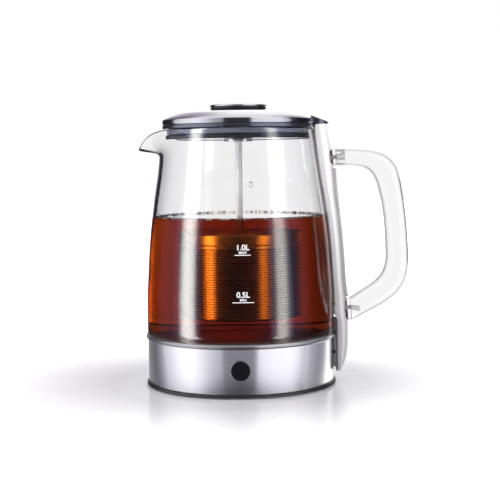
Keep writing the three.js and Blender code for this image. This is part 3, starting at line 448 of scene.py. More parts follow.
def brushed_metal(shader, colour, roughness, anisotropy=0.0, above=None):
    """Metal brushed round the axis, with fine lines in colour, roughness and height, and painted shade above a height.
    """
    lines = shader.noise(1, (22, 5200, 1), "UV", 4)
    both = shader.sum("ADD", lines, shader.noise(1, (6, 900, 1), "UV", 2))
    level = shader.ramp(both, 0, 1, 0.7, 1.3)
    steel = shader.between(level, shade(colour, 0.96), shade(colour, 1.03))
    if above:
        # Painted shade: the steel turns darker above that height, on the collar's bead
        dark = shader.between(level, shade(colour, 0.4), shade(colour, 0.6))
        steel = shader.mixed(shader.ramp(shader.axes()["Z"], 0, 1, above, above + 0.4 * MM), steel, dark)
    shader.set(Base_Color=steel, Roughness=shader.ramp(both, roughness - 0.03, roughness + 0.03, 0.7, 1.3))
    shader.brush(anisotropy)
    shader.bump(lines, 0.002 * MM, 0.15)


def polished_metal(shader, colour, roughness, metallic=1.0):
    """Polished metal with faint wipe marks and a little unevenness."""
    wipes = shader.noise(30, (1, 1, 3))
    shader.set(
        Base_Color=shader.between(shader.ramp(wipes, 0, 1), shade(colour, 0.95), colour),
        Metallic=metallic,
        Roughness=shader.ramp(shader.noise(160, detail=5), roughness - 0.03, roughness + 0.05),
    )
    shader.bump(shader.noise(45, detail=1), 0.01 * MM, 0.3)


def moulded(shader, colour, roughness, grain=0.02 * MM, coat=0.0):
    """Moulded plastic, rubber or lacquer: a fine grain and a slight drift of colour."""
    drift = shader.ramp(shader.noise(35), 0, 1)
    shader.set(
        Base_Color=shader.between(drift, shade(colour, 0.9), shade(colour, 1.08)),
        Roughness=shader.ramp(shader.noise(220), roughness - 0.05, roughness + 0.06),
        Coat_Weight=coat,
        Coat_Roughness=0.12,
    )
    shader.bump(shader.noise(2600, detail=2), grain, 0.5)


def pearl_lacquer(shader):
    """Satin lacquer with fine metal flakes under a soft coat, with painted shade towards its foot."""
    flakes = shader.ramp(shader.noise(4200, detail=1), 0, 1, 0.45, 0.7)
    dark = shader.between(flakes, (0.44, 0.43, 0.425), (0.56, 0.55, 0.545))
    pale = shader.between(flakes, (0.74, 0.73, 0.72), (0.86, 0.85, 0.84))
    # Painted shade: the base colour runs from the darker mix low down to the paler one higher up
    shader.set(
        Base_Color=shader.mixed(shader.ramp(shader.axes()["Z"], 0, 1, 0.04, 0.15), dark, pale),
        Metallic=0.25,
        Roughness=shader.ramp(shader.noise(300), 0.3, 0.4),
        Coat_Weight=0.35,
        Coat_Roughness=0.2,
    )
    shader.bump(shader.noise(1500), 0.01 * MM, 0.3)


def clear(shader, colour, index, waves=0.006 * MM, edge=0.5, start=0.6, frost=0.0):
    """Glass, plastic or water with slight waves. Its colour darkens towards its outlines, where the way through is
    long, as painted shade.
    """
    # Painted shade: the colour darkens where the surface turns away from the view
    facing = shader.add("LayerWeight", {"Blend": 0.5}).outputs["Facing"]
    shader.set(
        Base_Color=shader.between(shader.ramp(facing, 0, 1, start, 0.97), colour, shade(colour, edge)),
        IOR=index,
        Transmission_Weight=1.0,
        Roughness=shader.ramp(shader.noise(60), frost, frost + 0.012, 0.55, 0.8),
    )
    shader.bump(shader.noise(28, detail=1), waves, 0.4)


def brewed_tea(shader):
    """Tea that reddens with depth, by what it absorbs of each colour in a metre."""
    shader.set(Base_Color=WHITE, IOR=1.333, Transmission_Weight=1.0, Roughness=0.0)
    depth = shader.add("VolumeAbsorption", {"Color": TEA_COLOUR, "Density": TEA_DENSITY})
    shader.put(shader.tree.nodes["Material Output"].inputs["Volume"], depth.outputs[0])
    shader.bump(shader.noise(40, detail=1), 0.01 * MM, 0.15)


def perforated_steel(shader, colour):
    """Satin strainer steel with rows of fine slots, broken by narrow bars."""
    places = shader.axes("UV")
    level = shader.sum("DIVIDE", places["Y"], ROW_PITCH)
    stagger = shader.sum("MULTIPLY", shader.sum("MODULO", shader.sum("FLOOR", level), 2.0))
    across = shader.sum("ADD", shader.sum("DIVIDE", places["X"], SLOT_LENGTH), stagger)

    def edges(value, start, end):
        """From the middle of each step of a value to its ends."""
        away = shader.sum("ABSOLUTE", shader.sum("SUBTRACT", shader.sum("FRACT", value)))
        return shader.ramp(away, 0, 1, start, end)

    slots = shader.sum("MAXIMUM", edges(level, 0.1, 0.26), edges(across, 0.4, 0.46))
    shader.set(
        Base_Color=shader.between(slots, shade(colour, 0.3), colour),
        Roughness=shader.ramp(shader.noise(1, (20, 4000, 1), "UV"), 0.26, 0.34),
    )
    shader.brush(0.85)
    shader.bump(slots, 0.05 * MM, 0.25)


def satin_rod(shader):
    """Pale satin steel, drawn along its length."""
    lines = shader.noise(900, (1, 1, 0.02))
    shader.set(
        Base_Color=shader.between(shader.ramp(lines, 0, 1), (0.78, 0.78, 0.79), (0.86, 0.86, 0.87)),
        Metallic=0.1,
        Roughness=shader.ramp(lines, 0.35, 0.45),
    )
    shader.bump(lines, 0.004 * MM, 0.3)


def lit_sealant(shader):
    """Milky silicone that glows a little, as painted light in place of the light that the tea lets through to it."""
    cloud = shader.ramp(shader.noise(120), 0, 1)
    # Painted light: the emission is a glow that stands in for light reaching it through the tea
    shader.set(
        Base_Color=shader.between(cloud, (0.6, 0.6, 0.58), (0.72, 0.72, 0.7)),
        Roughness=0.5,
        Emission_Color=WHITE,
        Emission_Strength=shader.ramp(cloud, 0.4, 0.6, 0, 1),
    )


def printed_white(shader):
    shader.set(
        Base_Color=shader.between(shader.ramp(shader.noise(900), 0, 1), (0.86, 0.86, 0.86), (0.95, 0.95, 0.95)),
        Roughness=shader.ramp(shader.noise(300), 0.4, 0.55),
    )


def pale_floor(shader):
    """A pale floor that shows white to the camera where nothing shades it, with a faint sheen. Its own light fades
    towards the jug, a painted shadow round its foot. Reflections show the dim room instead of it."""
    place = shader.add("TexCoord").outputs["Object"]
    away = shader.add("VectorMath", {0: place, 1: (AXIS, 0, 0)}, operation="DISTANCE").outputs["Value"]
    # Painted shadow: the floor's glow is weaker near the jug's axis
    shader.set(
        Base_Color=shader.between(shader.ramp(shader.noise(300), 0, 1), (0.8, 0.8, 0.8), (0.84, 0.84, 0.84)),
        Roughness=shader.ramp(shader.noise(90), 0.2, 0.26),
        Emission_Color=WHITE,
        Emission_Strength=shader.ramp(away, 0, 1, *FLOOR_PAINTED_SHADE),
        Specular_IOR_Level=0.25,
    )
    rays = shader.add("LightPath").outputs
    shown = shader.sum("MAXIMUM", rays["Is Camera Ray"], rays["Is Diffuse Ray"])
    hidden = shader.add("BsdfTransparent").outputs[0]
    mix = shader.add("MixShader", {0: shown, 1: hidden, 2: shader.main.outputs[0]})
    shader.put(shader.tree.nodes["Material Output"].inputs["Surface"], mix.outputs[0])


finishes = {}
for make, name, *values in [
    (clear, "jug_glass", (0.992, 0.992, 0.995), 1.47, 0.006 * MM, 0.12, 0.78),
    (clear, "clear_handle", (0.975, 0.975, 0.98), 1.49, 0.012 * MM, 0.04, 0.28),
    (clear, "clear_bond", (0.97, 0.965, 0.97), 1.16, 0.05 * MM, 0.35, 0.6, 0.12),
    (brushed_metal, "brushed_collar", (0.8, 0.8, 0.8), 0.24, 0.85, extent("collar")[2] - PAINTED_SHADE_BAND),
    (polished_metal, "polished_steel", (0.72, 0.72, 0.735), 0.1),
    (brushed_metal, "strainer_steel", (0.9, 0.88, 0.82), 0.34, 0.6),
    (brushed_metal, "plain_steel", (0.6, 0.6, 0.61), 0.32),
    (polished_metal, "dark_steel", (0.12, 0.125, 0.165), 0.16, 0.85),
    (pearl_lacquer, "pearl_cover"),
    (moulded, "plug_plastic", (0.2, 0.205, 0.27), 0.18, 0.004 * MM, 0.5),
    (moulded, "dark_plastic", (0.15, 0.145, 0.16), 0.42),
    (moulded, "black_plastic", (0.012, 0.012, 0.014), 0.4),
    (moulded, "badge_gloss", (0.006, 0.006, 0.008), 0.12, 0.002 * MM, 1.0),
    (moulded, "dark_silicone", (0.02, 0.02, 0.028), 0.5),
    (moulded, "pale_silicone", (0.6, 0.6, 0.57), 0.55),
    (polished_metal, "aluminium", (0.7, 0.7, 0.71), 0.3),
    (polished_metal, "brass", (0.68, 0.5, 0.22), 0.2),
    (brewed_tea, "brewed_tea"),
    (clear, "water_drop", WHITE[:3], 1.333),
    (printed_white, "printed_white"),
    (perforated_steel, "perforated_steel", (0.62, 0.6, 0.55)),
    (satin_rod, "satin_rod"),
    (lit_sealant, "lit_sealant"),
    (pale_floor, "studio_floor"),
]:
    shader = Shader(name)
    make(shader, *values)
    finishes[name] = shader.material


def dressed(piece, finish):
    """Gives a piece its finish."""
    piece.data.materials.clear()
    piece.data.materials.append(finishes[finish])


def stand_in(piece, node, finish=None):
    """Lets a finer piece stand for a CAD node, with that node's body, and the finish of its slot unless another is
    given.
    """
    dressed(piece, finish or slot_of[node])
    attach(piece, body_of[node])
    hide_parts(node)


def lathe(name, node, section, corner, steps=WIDE_STEPS, closed=True, finish=None, cutters=()):
    """Turns a half section with its corners eased by so many millimetres, in place of a CAD node."""
    piece = turned(name, eased(section, corner * MM, closed), steps)
    stand_in(cut(piece, cutters) if cutters else piece, node, finish)


def added(piece, finish):
    """A piece that goes with the jug and stands for no CAD node."""
    dressed(piece, finish)
    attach(piece, "jug")


# Glass jug and tea

taper = Curve(TAPER_SHARES)
spout_reach = Curve(SPOUT_LINE_SHARES, 1)
spout_height = Curve(SPOUT_LINE_SHARES, 2)


def glass_radius(height):
    """The outer wall's radius at a height."""
    return BODY_RADIUS - (BODY_RADIUS - RIM_RADIUS) * taper((height - SHOULDER) / (RIM_HEIGHT - SHOULDER))


def on_jug(radius, angle, height):
    """A point by its distance from the jug's axis, its angle from the spout, and its height."""
    return Vector((AXIS - radius * cos(angle), -radius * sin(angle), height))


def outer_point(height, angle):
    """A point of the outer wall, by its height on the plain wall and its angle from the spout."""
    radius = glass_radius(height)
    rise = (height - SPOUT_FOOT) / (RIM_HEIGHT - SPOUT_FOOT)
    if rise <= 0:
        return on_jug(radius, angle, height)
    spread_here = SPOUT_FOOT_SPREAD + (SPOUT_SPREAD - SPOUT_FOOT_SPREAD) * rise
    away = hypot(angle, SPOUT_TIP_SPREAD) - SPOUT_TIP_SPREAD
    pull = max(0, 1 - away / spread_here) ** 2
    lip_radius = radius + (SPOUT_REACH - GLASS_WALL / 2 - RIM_RADIUS) * spout_reach(rise)
    lip_height = SPOUT_FOOT + (SPOUT_TIP - SPOUT_FOOT) * spout_height(rise)
    drop = pull * (pull ** 2 + (1 - pull ** 2) * SPOUT_DROP_SHARE)
    return on_jug(radius + (lip_radius - radius) * pull, angle, height + (lip_height - height) * drop)


def wall_frame(height, angle):
    """The wall's upward tangent and outward normal."""
    step, turn = 0.3 * MM, 0.004
    up = (outer_point(height, angle) - outer_point(height - step, angle)).normalized()
    along = (outer_point(height, angle + turn) - outer_point(height, angle - turn)).normalized()
    return up, along.cross(up).normalized()


def wall_angles():
    """Angles round the wall, closer together at the spout."""
    near = [SPOUT_SPREAD * (share ** 1.4) for share in spread(0, 1, 29)]
    plain = spread(SPOUT_SPREAD, 2 * pi - SPOUT_SPREAD, 121)[1:-1]
    back = [2 * pi - angle for angle in reversed(near)]
    turns = [*near, *plain, *back[:-1]]
    return [turn - 2 * pi if turn > pi else turn for turn in turns]


def arc(radius, height, corner, start, end, steps=9):
    """Radius and height pairs round a corner's centre, between two angles below the level."""
    turns = spread(radians(start), radians(end), steps)
    return [(radius + corner * cos(turn), height - corner * sin(turn)) for turn in turns]


def glass_jug():
    angles = wall_angles()
    heights = [*spread(SHOULDER, SPOUT_FOOT, 44), *spread(SPOUT_FOOT, RIM_HEIGHT, 33)[1:]]
    outer = [[outer_point(height, angle) for angle in angles] for height in heights]
    half = GLASS_WALL / 2
    frames = [wall_frame(RIM_HEIGHT, angle) for angle in angles]
    lip = []
    for turn in spread(0, pi, 9)[1:-1]:
        ring = []
        for point, (up, out) in zip(outer[-1], frames):
            ring.append(point - half * out + half * cos(turn) * out + half * sin(turn) * up)
        lip.append(ring)
    inner = []
    for height in reversed(heights[1:]):
        inner.append([outer_point(height, angle) - GLASS_WALL * wall_frame(height, angle)[1] for angle in angles])
    floor = arc(BODY_RADIUS - GLASS_WALL - FLOOR_CORNER, FLOOR_HEIGHT + FLOOR_CORNER, FLOOR_CORNER, 0, 90)
    foot = arc(BODY_RADIUS - FOOT_CORNER, SHOULDER, FOOT_CORNER, 90, 9)
    plain = [*floor, (THROAT_RADIUS, FLOOR_HEIGHT), (THROAT_RADIUS, GLASS_FOOT), *foot]
    rest = [[on_jug(radius, angle, height) for angle in angles] for radius, height in plain]
    stand_in(skin("glass_wall", [*outer, *lip, *inner, *rest], closed=True, sharp=60), "glass_jug")


def foot_sealant():
    """A film of pale silicone between the jug's rounded foot and what holds it, seen through the tea. It glows a
    little, as painted light.
    """
    centre, top = BODY_RADIUS - FOOT_CORNER, extent("collar")[2] - 1.2 * MM
    start = degrees(asin((SHOULDER - top) / FOOT_CORNER))
    near, far = [arc(centre, SHOULDER, FOOT_CORNER + side * 0.12 * MM, start, 90) for side in (-1, 1)]
    added(turned("foot_sealant", [*near, *reversed(far)]), "lit_sealant")


def tea_radius(height):
    return glass_radius(height) - GLASS_WALL + TEA_LAP


def brewed_body():
    """The tea: its floor, its side just inside the glass, and its surface with a raised edge."""
    corner = FLOOR_CORNER + TEA_LAP
    centre = BODY_RADIUS - GLASS_WALL - FLOOR_CORNER
    floor = FLOOR_HEIGHT - TEA_LAP
    section = [(0, floor)]
    section += reversed(arc(centre, FLOOR_HEIGHT + FLOOR_CORNER, corner, 0, 90))
    top = TEA_LEVEL + MENISCUS_RISE
    section += [(tea_radius(height), height) for height in spread(FLOOR_HEIGHT + FLOOR_CORNER, top, 32)[1:]]
    edge = tea_radius(TEA_LEVEL)
    for share in spread(0, 1, 8)[1:]:
        section.append((edge - MENISCUS_WIDTH * share, TEA_LEVEL + MENISCUS_RISE * (1 - share) ** 2.5))
    section.append((0, TEA_LEVEL))
    added(turned("tea", section, sharp=60), "brewed_tea")


def scattered(name, finish, seed, count, sizes, rises):
    """Balls along the edge of the tea. Their rise is drawn only where it varies."""
    chance = random.Random(seed)
    bm = bmesh.new()
    for _ in range(count):
        angle = chance.uniform(0, 2 * pi)
        size = chance.uniform(*sizes) * MM
        rise = (chance.uniform(*rises) if rises[0] < rises[1] else rises[0]) * MM
        place = on_jug(tea_radius(TEA_LEVEL) - TEA_LAP - size * 1.1, angle, TEA_LEVEL + rise)
        bmesh.ops.create_icosphere(bm, subdivisions=2, radius=size, matrix=Matrix.Translation(place))
    added(finished(name, bm), finish)


def bubbles_and_foam():
    scattered("tea_bubbles", "water_drop", SEED, *BUBBLES)
    scattered("tea_foam", "printed_white", SEED + 1, *FOAM)


def droplet():
    """A drop of condensation on the front of the glass."""
    up, out = wall_frame(DROP_HEIGHT, DROP_ANGLE)
    turn = Matrix((up.cross(out), up, out)).transposed().to_4x4()
    place = Matrix.Translation(outer_point(DROP_HEIGHT, DROP_ANGLE))
    bm = bmesh.new()
    bmesh.ops.create_icosphere(bm, subdivisions=3, radius=1.0)
    bmesh.ops.transform(bm, matrix=place @ turn @ Matrix.Diagonal((*DROP_SIZE, 1)), verts=bm.verts)
    added(finished("condensation_drop", bm), "water_drop")


# Level marks

def wrapped(mesh, height):
    """Lays a flat mesh, drawn in X and Y, on the front of the glass at a height."""
    for vertex in mesh.vertices:
        across, up, out = vertex.co
        level = height + up
        radius = glass_radius(level) + 0.06 * MM + out
        vertex.co = on_jug(radius, pi / 2 + (MARK_OFFSET + across) / radius, level)


def words(name, body, size, height, weight):
    curve = bpy.data.curves.new(name, "FONT")
    curve.body = body
    curve.size = size
    curve.align_x = "CENTER"
    curve.offset = weight
    curve.extrude = 0.02 * MM
    drawn = placed(name, curve)
    bpy.context.view_layer.update()
    mesh = bpy.data.meshes.new_from_object(drawn.evaluated_get(bpy.context.evaluated_depsgraph_get()))
    bpy.data.objects.remove(drawn)
    wrapped(mesh, height)
    added(placed(name, mesh), "printed_white")


def line(name, length, height):
    """A thin printed line, of short steps so that it follows the glass."""
    bm = bmesh.new()
    half = 0.28 * MM
    across = spread(-length / 2, length / 2, 17)
    low = [bm.verts.new((x, -half, 0)) for x in across]
    high = [bm.verts.new((x, half, 0)) for x in across]
    for index in range(len(across) - 1):
        bm.faces.new((low[index], low[index + 1], high[index + 1], high[index]))
    piece = finished(name, bm)
    wrapped(piece.data, height)
    added(piece, "printed_white")


def level_marks():
    for number, (label, small, height, length) in enumerate(MARKS, 1):
        words(f"mark_{number}_label", label, 5.6 * MM, height + 3.6 * MM, 0.12 * MM)
        words(f"mark_{number}_word", small, 2.7 * MM, height + 0.9 * MM, 0.05 * MM)
        line(f"mark_{number}_line", length, height)


# Base

def steel_collar():
    radius, foot, top = extent("collar")
    bead, sheet = 3.6 * MM, 0.8 * MM
    outer = radius - BEAD_RISE
    inner = outer - sheet
    centre, low = top - bead / 2, top - bead / 2 - bead / 2
    turns = spread(radians(-90), radians(150), 17)
    roll = [(outer + BEAD_RISE * cos(turn), centre + bead / 2 * sin(turn)) for turn in turns]
    hem = [(inner, foot), (outer - 0.3 * MM, foot), (outer, foot + 0.4 * MM), (outer, low - 0.4 * MM)]
    stand_in(turned("brushed_collar", [*hem, *roll, (inner + 0.3 * MM, centre), (inner, low)]), "collar")


def black_foot():
    outer, _, top = extent("foot_ring")
    rest_outer = outer - 2.2 * MM
    rest_inner = rest_outer - 10.5 * MM
    wall, web = outer - 2.5 * MM, rest_inner - 4 * MM
    section = [
        (rest_inner, 0), (rest_outer, 0), (outer, 0.8 * MM), (outer, 2.4 * MM), (wall, 2.4 * MM), (wall, top),
        (web, top), (web, 5.3 * MM), (rest_inner, 5.3 * MM),
    ]
    lathe("black_foot", "foot_ring", section, 0.5)


def bare_badge():
    """A glossy disc with a rounded edge, on the front of the collar."""
    low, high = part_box("badge")
    radius, centre = (high.z - low.z) / 2, middle("badge").z
    outline = [(0, low.y), (radius, low.y + 0.15 * MM), (radius, high.y), (0, high.y)]
    bm = bmesh.new()
    rings = []
    for r, y in eased(outline, 0.35 * MM, closed=False):
        ring = [(AXIS + r * cos(turn), y, centre + r * sin(turn)) for turn in turns_round(MIDDLE_STEPS)]
        rings.append([bm.verts.new(point) for point in ring])
    for near, far in zip(rings, rings[1:]):
        for side in range(MIDDLE_STEPS):
            beside = (side + 1) % MIDDLE_STEPS
            bm.faces.new((near[side], near[beside], far[beside], far[side]))
    stand_in(finished("badge_disc", bm), "badge")


def jug_floor():
    """The steel floor under the tea, with two pressed rings."""
    edge, foot, top = extent("floor_plate")
    radius, sheet = 58.3 * MM, 1.2 * MM
    dip = top - 0.25 * MM
    section = [
        (0, dip), (14 * MM, dip), (15 * MM, top), (42 * MM, top), (43 * MM, dip), (45 * MM, dip), (46 * MM, top),
        (radius, top), (radius, foot + sheet), (edge, foot + sheet), (edge, foot), (radius - sheet, foot),
        (radius - sheet, top - sheet), (0, top - sheet),
    ]
    lathe("jug_floor", "floor_plate", section, 0.6, closed=False)


# Spine and handle

spine_share = Curve(SPINE_SHARES)
SPINE_TOP = extent("spine_cover")[2]


def spine_outer(height):
    share = (height - SPINE_FOOT) / (SPINE_TOP - SPINE_FOOT)
    return glass_radius(height) + SPINE_DEPTH * spine_share(share)


def spine_inner(height):
    low = COLLAR_RADIUS + BEAD_RISE + BACKING_SHEET + 2 * FIT
    high = glass_radius(height) + BOND_SHEET + 2 * FIT
    share = min(max((height - BACKING_TOP - FIT) / STEP_HEIGHT, 0), 1)
    return low + (high - low) * share


def across_point(radius, across, height):
    return Vector((AXIS + sqrt(radius ** 2 - across ** 2), across, height))


def spine_face(height):
    """The outer face of one level of the spine, rounded towards both edges."""
    inner, outer = spine_inner(height), spine_outer(height)
    points = []
    for turn in spread(pi, 0, 41):
        share, rise = bulged(turn, SPINE_ROUNDNESS)
        point = across_point(inner, share * SPINE_HALF_WIDTH, height)
        point.x += SPINE_EDGE + (outer - inner - SPINE_EDGE) * rise
        points.append(point)
    return points


def spine_cover():
    heights = sorted({*spread(SPINE_FOOT, SPINE_TOP, 90), BACKING_TOP + FIT, BACKING_TOP + FIT + STEP_HEIGHT})
    rings = []
    for height in heights:
        inner = spine_inner(height)
        back = [across_point(inner, -share * SPINE_HALF_WIDTH, height) for share in spread(-1, 1, 9)]
        rings.append([*spine_face(height), *back])
    stand_in(skin("pearl_spine", rings, sharp=50), "spine_cover")


def spine_cap():
    """The sloping plate on top of the spine, with eased edges."""
    low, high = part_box("spine_cap")
    fall = 5 * MM / (high.x - low.x)
    centre = (low.x + high.x) / 2
    outline = [*spine_face(SPINE_TOP), *[Vector((low.x, side * SPINE_HALF_WIDTH, 0)) for side in (1, -1)]]
    rings = []
    for level, inset in [(0, 0), (0.75, 0), (0.9, 0.1), (0.97, 0.3), (1, 0.7)]:
        ring = []
        for point in outline:
            top = high.z - fall * (point.x - low.x)
            foot = SPINE_TOP + FIT if point.x > AXIS + spine_inner(SPINE_TOP) - 2 * MM else RIM_TOP + FIT
            inward = Vector((centre - point.x, -point.y, 0)).normalized() * inset * MM
            ring.append(Vector((point.x, point.y, foot + (top - foot) * level)) + inward)
        rings.append(ring)
    stand_in(skin("spine_plate", rings, sharp=30), "spine_cap")


def handle_point(reach_share, height_share):
    height = HANDLE_FOOT + (HANDLE_TOP - HANDLE_FOOT) * height_share
    seat = spine_outer(height) + SEAT_SHEET + 2 * FIT
    return Vector((AXIS + seat + (HANDLE_REACH - seat) * reach_share, 0, height))


def handle_ring(outer_reach, outer_height, inner_reach, inner_height):
    """A rounded section of the handle between two points of its outline."""
    outer, inner = handle_point(outer_reach, outer_height), handle_point(inner_reach, inner_height)
    centre = (outer + inner) / 2
    ring = []
    for turn in turns_round(SMALL_STEPS):
        across, deep = bulged(turn, HANDLE_ROUNDNESS)
        ring.append(centre + (outer - centre) * across + Vector((0, HANDLE_HALF_DEPTH * deep, 0)))
    return ring


def clear_handle():
    rows = [(index, *row) for index, row in enumerate(HANDLE_SHARES)]
    curves = [Curve(rows, column) for column in (1, 2, 3, 4)]
    rings = [handle_ring(*[curve(at) for curve in curves]) for at in spread(0, len(rows) - 1, 120)]
    stand_in(skin("clear_handle", rings, sharp=50), "handle")


def handle_strip():
    """A thin clear strip down the spine between the two ends of the handle."""
    rings = []
    for height in spread(66 * MM, 164 * MM, 50):
        outer = AXIS + spine_outer(height)
        front = [Vector((outer + 1.5 * MM, y * MM, height)) for y in (-7.5, -4, 0, 4, 7.5)]
        back = [Vector((outer - 0.6 * MM, y * MM, height)) for y in (8.5, 0, -8.5)]
        rings.append([*front, *back])
    added(skin("clear_strip", rings), "clear_handle")


def bond_bead():
    """The bead of clear bond round the spine's back, seen through the glass as two pale lines that meet."""
    half, foot, top = 8.2 * MM, 58 * MM, 190 * MM
    width, depth = 0.9 * MM, 0.4 * MM
    heights = spread(top, foot + half, 30)
    bend = [(half * cos(turn), foot + half + half * sin(turn)) for turn in spread(pi, 2 * pi, 13)]
    path = [*[(-half, height) for height in heights], *bend[1:-1], *[(half, height) for height in reversed(heights)]]
    rings = []
    for before, (across, height), after in zip([path[0], *path], path, [*path[1:], path[-1]]):
        centre = across_point(glass_radius(height) + FIT + BOND_SHEET / 2, across, height)
        along = Vector((0, after[0] - before[0], after[1] - before[1])).normalized()
        out = Vector((centre.x - AXIS, centre.y, 0)).normalized()
        side = along.cross(out).normalized()
        rings.append([centre + width * cos(turn) * side + depth * sin(turn) * out for turn in turns_round(8)])
    stand_in(skin("bond_bead", rings), "bond_strip")


# Lid and knob

def cap_notch():
    """What the lid leaves free round the spine's cap, past its edge and through its height."""
    low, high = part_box("spine_cap")
    gap = 0.8 * MM
    return box_cutter((low.x - gap, low.y - gap, 150 * MM), (low.x + 60 * MM, high.y + gap, 250 * MM))


def lid_dome():
    radius, foot, top = extent("lid_dome")
    edge, sheet, hole = 3.3 * MM, 1 * MM, 8.9 * MM / radius
    shoulder, ease = foot + edge, 0.3 * MM
    height = Curve([(hole, 1), (0.4, 0.98), (0.62, 0.91), (0.77, 0.74), (0.88, 0.46), (0.975, 0.14), (1, 0)])
    outer = [(radius - 0.15 * MM, foot), (radius, foot + ease), (radius, shoulder - ease)]
    outer += [(radius - 0.25 * MM, shoulder + ease)]
    outer += [(radius * share, shoulder + (top - shoulder) * height(share)) for share in spread(0.985, hole, 40)]
    inner = [(r - sheet, z - sheet) for r, z in outer[3:]]
    section = [*outer, *reversed(inner), (radius - sheet, foot)]
    stand_in(cut(turned("steel_dome", section, sharp=30), [cap_notch()]), "lid_dome")


def lid_band():
    radius, foot, top = extent("lid_band")
    wall, web = 1.6 * MM, 36 * MM
    inner, floor = radius - wall, foot + wall
    section = [(web, foot), (radius, foot), (radius, top), (inner, top), (inner, floor), (web, floor)]
    lathe("dark_band", "lid_band", section, 0.6, cutters=[cap_notch()])


def lid_plug():
    radius, foot, top = extent("lid_plug")
    hole, wall, floor = 7.4 * MM, 3.6 * MM, foot + 1.8 * MM
    groove, root = foot + 1.4 * MM, radius - 2 * MM
    section = [
        (hole, foot), (radius, foot), (radius, groove), (root, groove), (root, groove + 1.8 * MM),
        (radius, groove + 1.8 * MM), (radius, top), (radius - wall, top), (radius - wall, floor), (hole, floor),
    ]
    lathe("lid_plug_ring", "lid_plug", section, 0.5)


def lid_seal():
    """The seal's root in its groove, and its lip that leans down against the glass."""
    radius, foot, top = extent("lid_seal")
    root, lip = radius - 2.6 * MM, foot - 2.2 * MM
    section = [
        (root, foot), (radius - 1.1 * MM, foot), (radius - 0.8 * MM, lip), (radius, lip), (radius, top - 0.3 * MM),
        (radius - 0.7 * MM, top), (root, top),
    ]
    lathe("seal_lip", "lid_seal", section, 0.25)


def bush_and_nut():
    flange, foot, top = extent("rod_bush")
    bore, sleeve, neck = 3 * MM, 6.9 * MM, 8.6 * MM
    step = top - 0.3 * MM - 1.5 * MM
    under = step - 2.1 * MM
    section = [
        (bore, foot), (sleeve, foot), (sleeve, under), (flange, under), (flange, step), (neck, step), (neck, top),
        (bore, top),
    ]
    lathe("bush_sleeve", "rod_bush", section, 0.4, MIDDLE_STEPS)
    radius, foot, top = extent("bush_nut")
    bore = 7.2 * MM
    lathe("bush_ring", "bush_nut", [(bore, foot), (radius, foot), (radius, top), (bore, top)], 0.4, MIDDLE_STEPS)


def knob():
    """The pressed plate on top, and the dark body under it with a hollow for the rod."""
    radius, foot, top = extent("knob_cap")
    bevel, dish = 0.9 * MM, 0.35 * MM
    section = [
        (0, top - dish), (0.4 * radius, top - 0.7 * dish), (radius - 3 * bevel, top),
        (radius - bevel, top - 0.1 * MM), (radius, top - 0.6 * MM), (radius, foot), (0, foot),
    ]
    lathe("knob_plate", "knob_cap", section, 0.5, MIDDLE_STEPS, closed=False)
    radius, foot, top = extent("knob_base")
    hollow, ceiling = 2.8 * MM, foot + 1.6 * MM
    section = [
        (0, top), (radius, top), (radius, middle("knob_base").z), (radius - 1.1 * MM, foot), (hollow, foot),
        (hollow, ceiling), (0, ceiling),
    ]
    lathe("knob_underside", "knob_base", section, 0.3, MIDDLE_STEPS, closed=False)


def lift_rod():
    collar, foot, top = extent("lift_rod")
    rod, low = 2.5 * MM, extent("strainer_cap")[2] + FIT
    high = low + 1.5 * MM
    section = [(0, top), (rod, top), (rod, high), (collar, high), (collar, low), (rod, low), (rod, foot), (0, foot)]
    lathe("steel_rod", "lift_rod", section, 0.3, SMALL_STEPS, False, "satin_rod")


# Strainer

def strainer_cap():
    radius, foot, top = extent("strainer_cap")
    sheet, hole, circle, size = 1.2 * MM, 2.8 * MM, 21 * MM, 4 * MM
    inner, under = radius - sheet, top - sheet
    section = [(hole, under), (inner, under), (inner, foot), (radius, foot), (radius, top), (hole, top)]
    cutters = [
        post_cutter(size, AXIS + circle * cos(turn), circle * sin(turn), top - 3 * MM, top + MM)
        for turn in turns_round(6)
    ]
    lathe("basket_cap", "strainer_cap", section, 1.2, MIDDLE_STEPS, cutters=cutters)


def strainer_rim():
    radius, foot, top = extent("strainer_rim")
    neck, ledge = radius - 1.7 * MM, top - 5 * MM
    inner = neck - 1.2 * MM
    section = [(inner, foot), (radius, foot), (radius, ledge), (neck, ledge), (neck, top), (inner, top)]
    lathe("basket_rim", "strainer_rim", section, 0.3, MIDDLE_STEPS)


def strainer_wall():
    """The basket's wall, with a fine rib for each row of holes."""
    radius, foot, top = extent("strainer_mesh")
    depth, inner = 0.12 * MM, radius - 0.7 * MM
    outer = []
    for height in spread(foot, top, int((top - foot) / ROW_PITCH * 6)):
        wave = cos(2 * pi * (height - foot) / ROW_PITCH)
        outer.append((radius - depth * (1 - wave) / 2, height))
    piece = turned("basket_wall", [(inner, foot), *outer, (inner, top)], sharp=70)
    stand_in(piece, "strainer_mesh", "perforated_steel")


def strainer_floor():
    radius, foot, _ = extent("strainer_floor")
    rise = 1.2 * MM
    section = [(0, foot + FIT), (radius / 2, foot), (radius - rise, foot), (radius, foot + rise), (0, foot + 1.5 * MM)]
    lathe("basket_floor", "strainer_floor", section, 0.5, MIDDLE_STEPS, False, "perforated_steel")


# Stage

# Brightness round the object by degrees from the camera's side: a white backdrop behind, a dark room elsewhere
BRIGHT_ROUND = [
    (-180, 1.3), (-177, 1.2), (-171, 0.5), (-163, 0.12), (-154, 0.02), (-126, 0.02), (-112, 0.1), (-60, 0.1),
    (-22, 0.045), (12, 0.045), (24, 0.08), (60, 0.1), (84, 0.09), (100, 0.02), (126, 0.02), (142, 0.11), (164, 0.5),
    (172, 1.2), (180, 1.3),
]
BRIGHT_TOP = 0.95
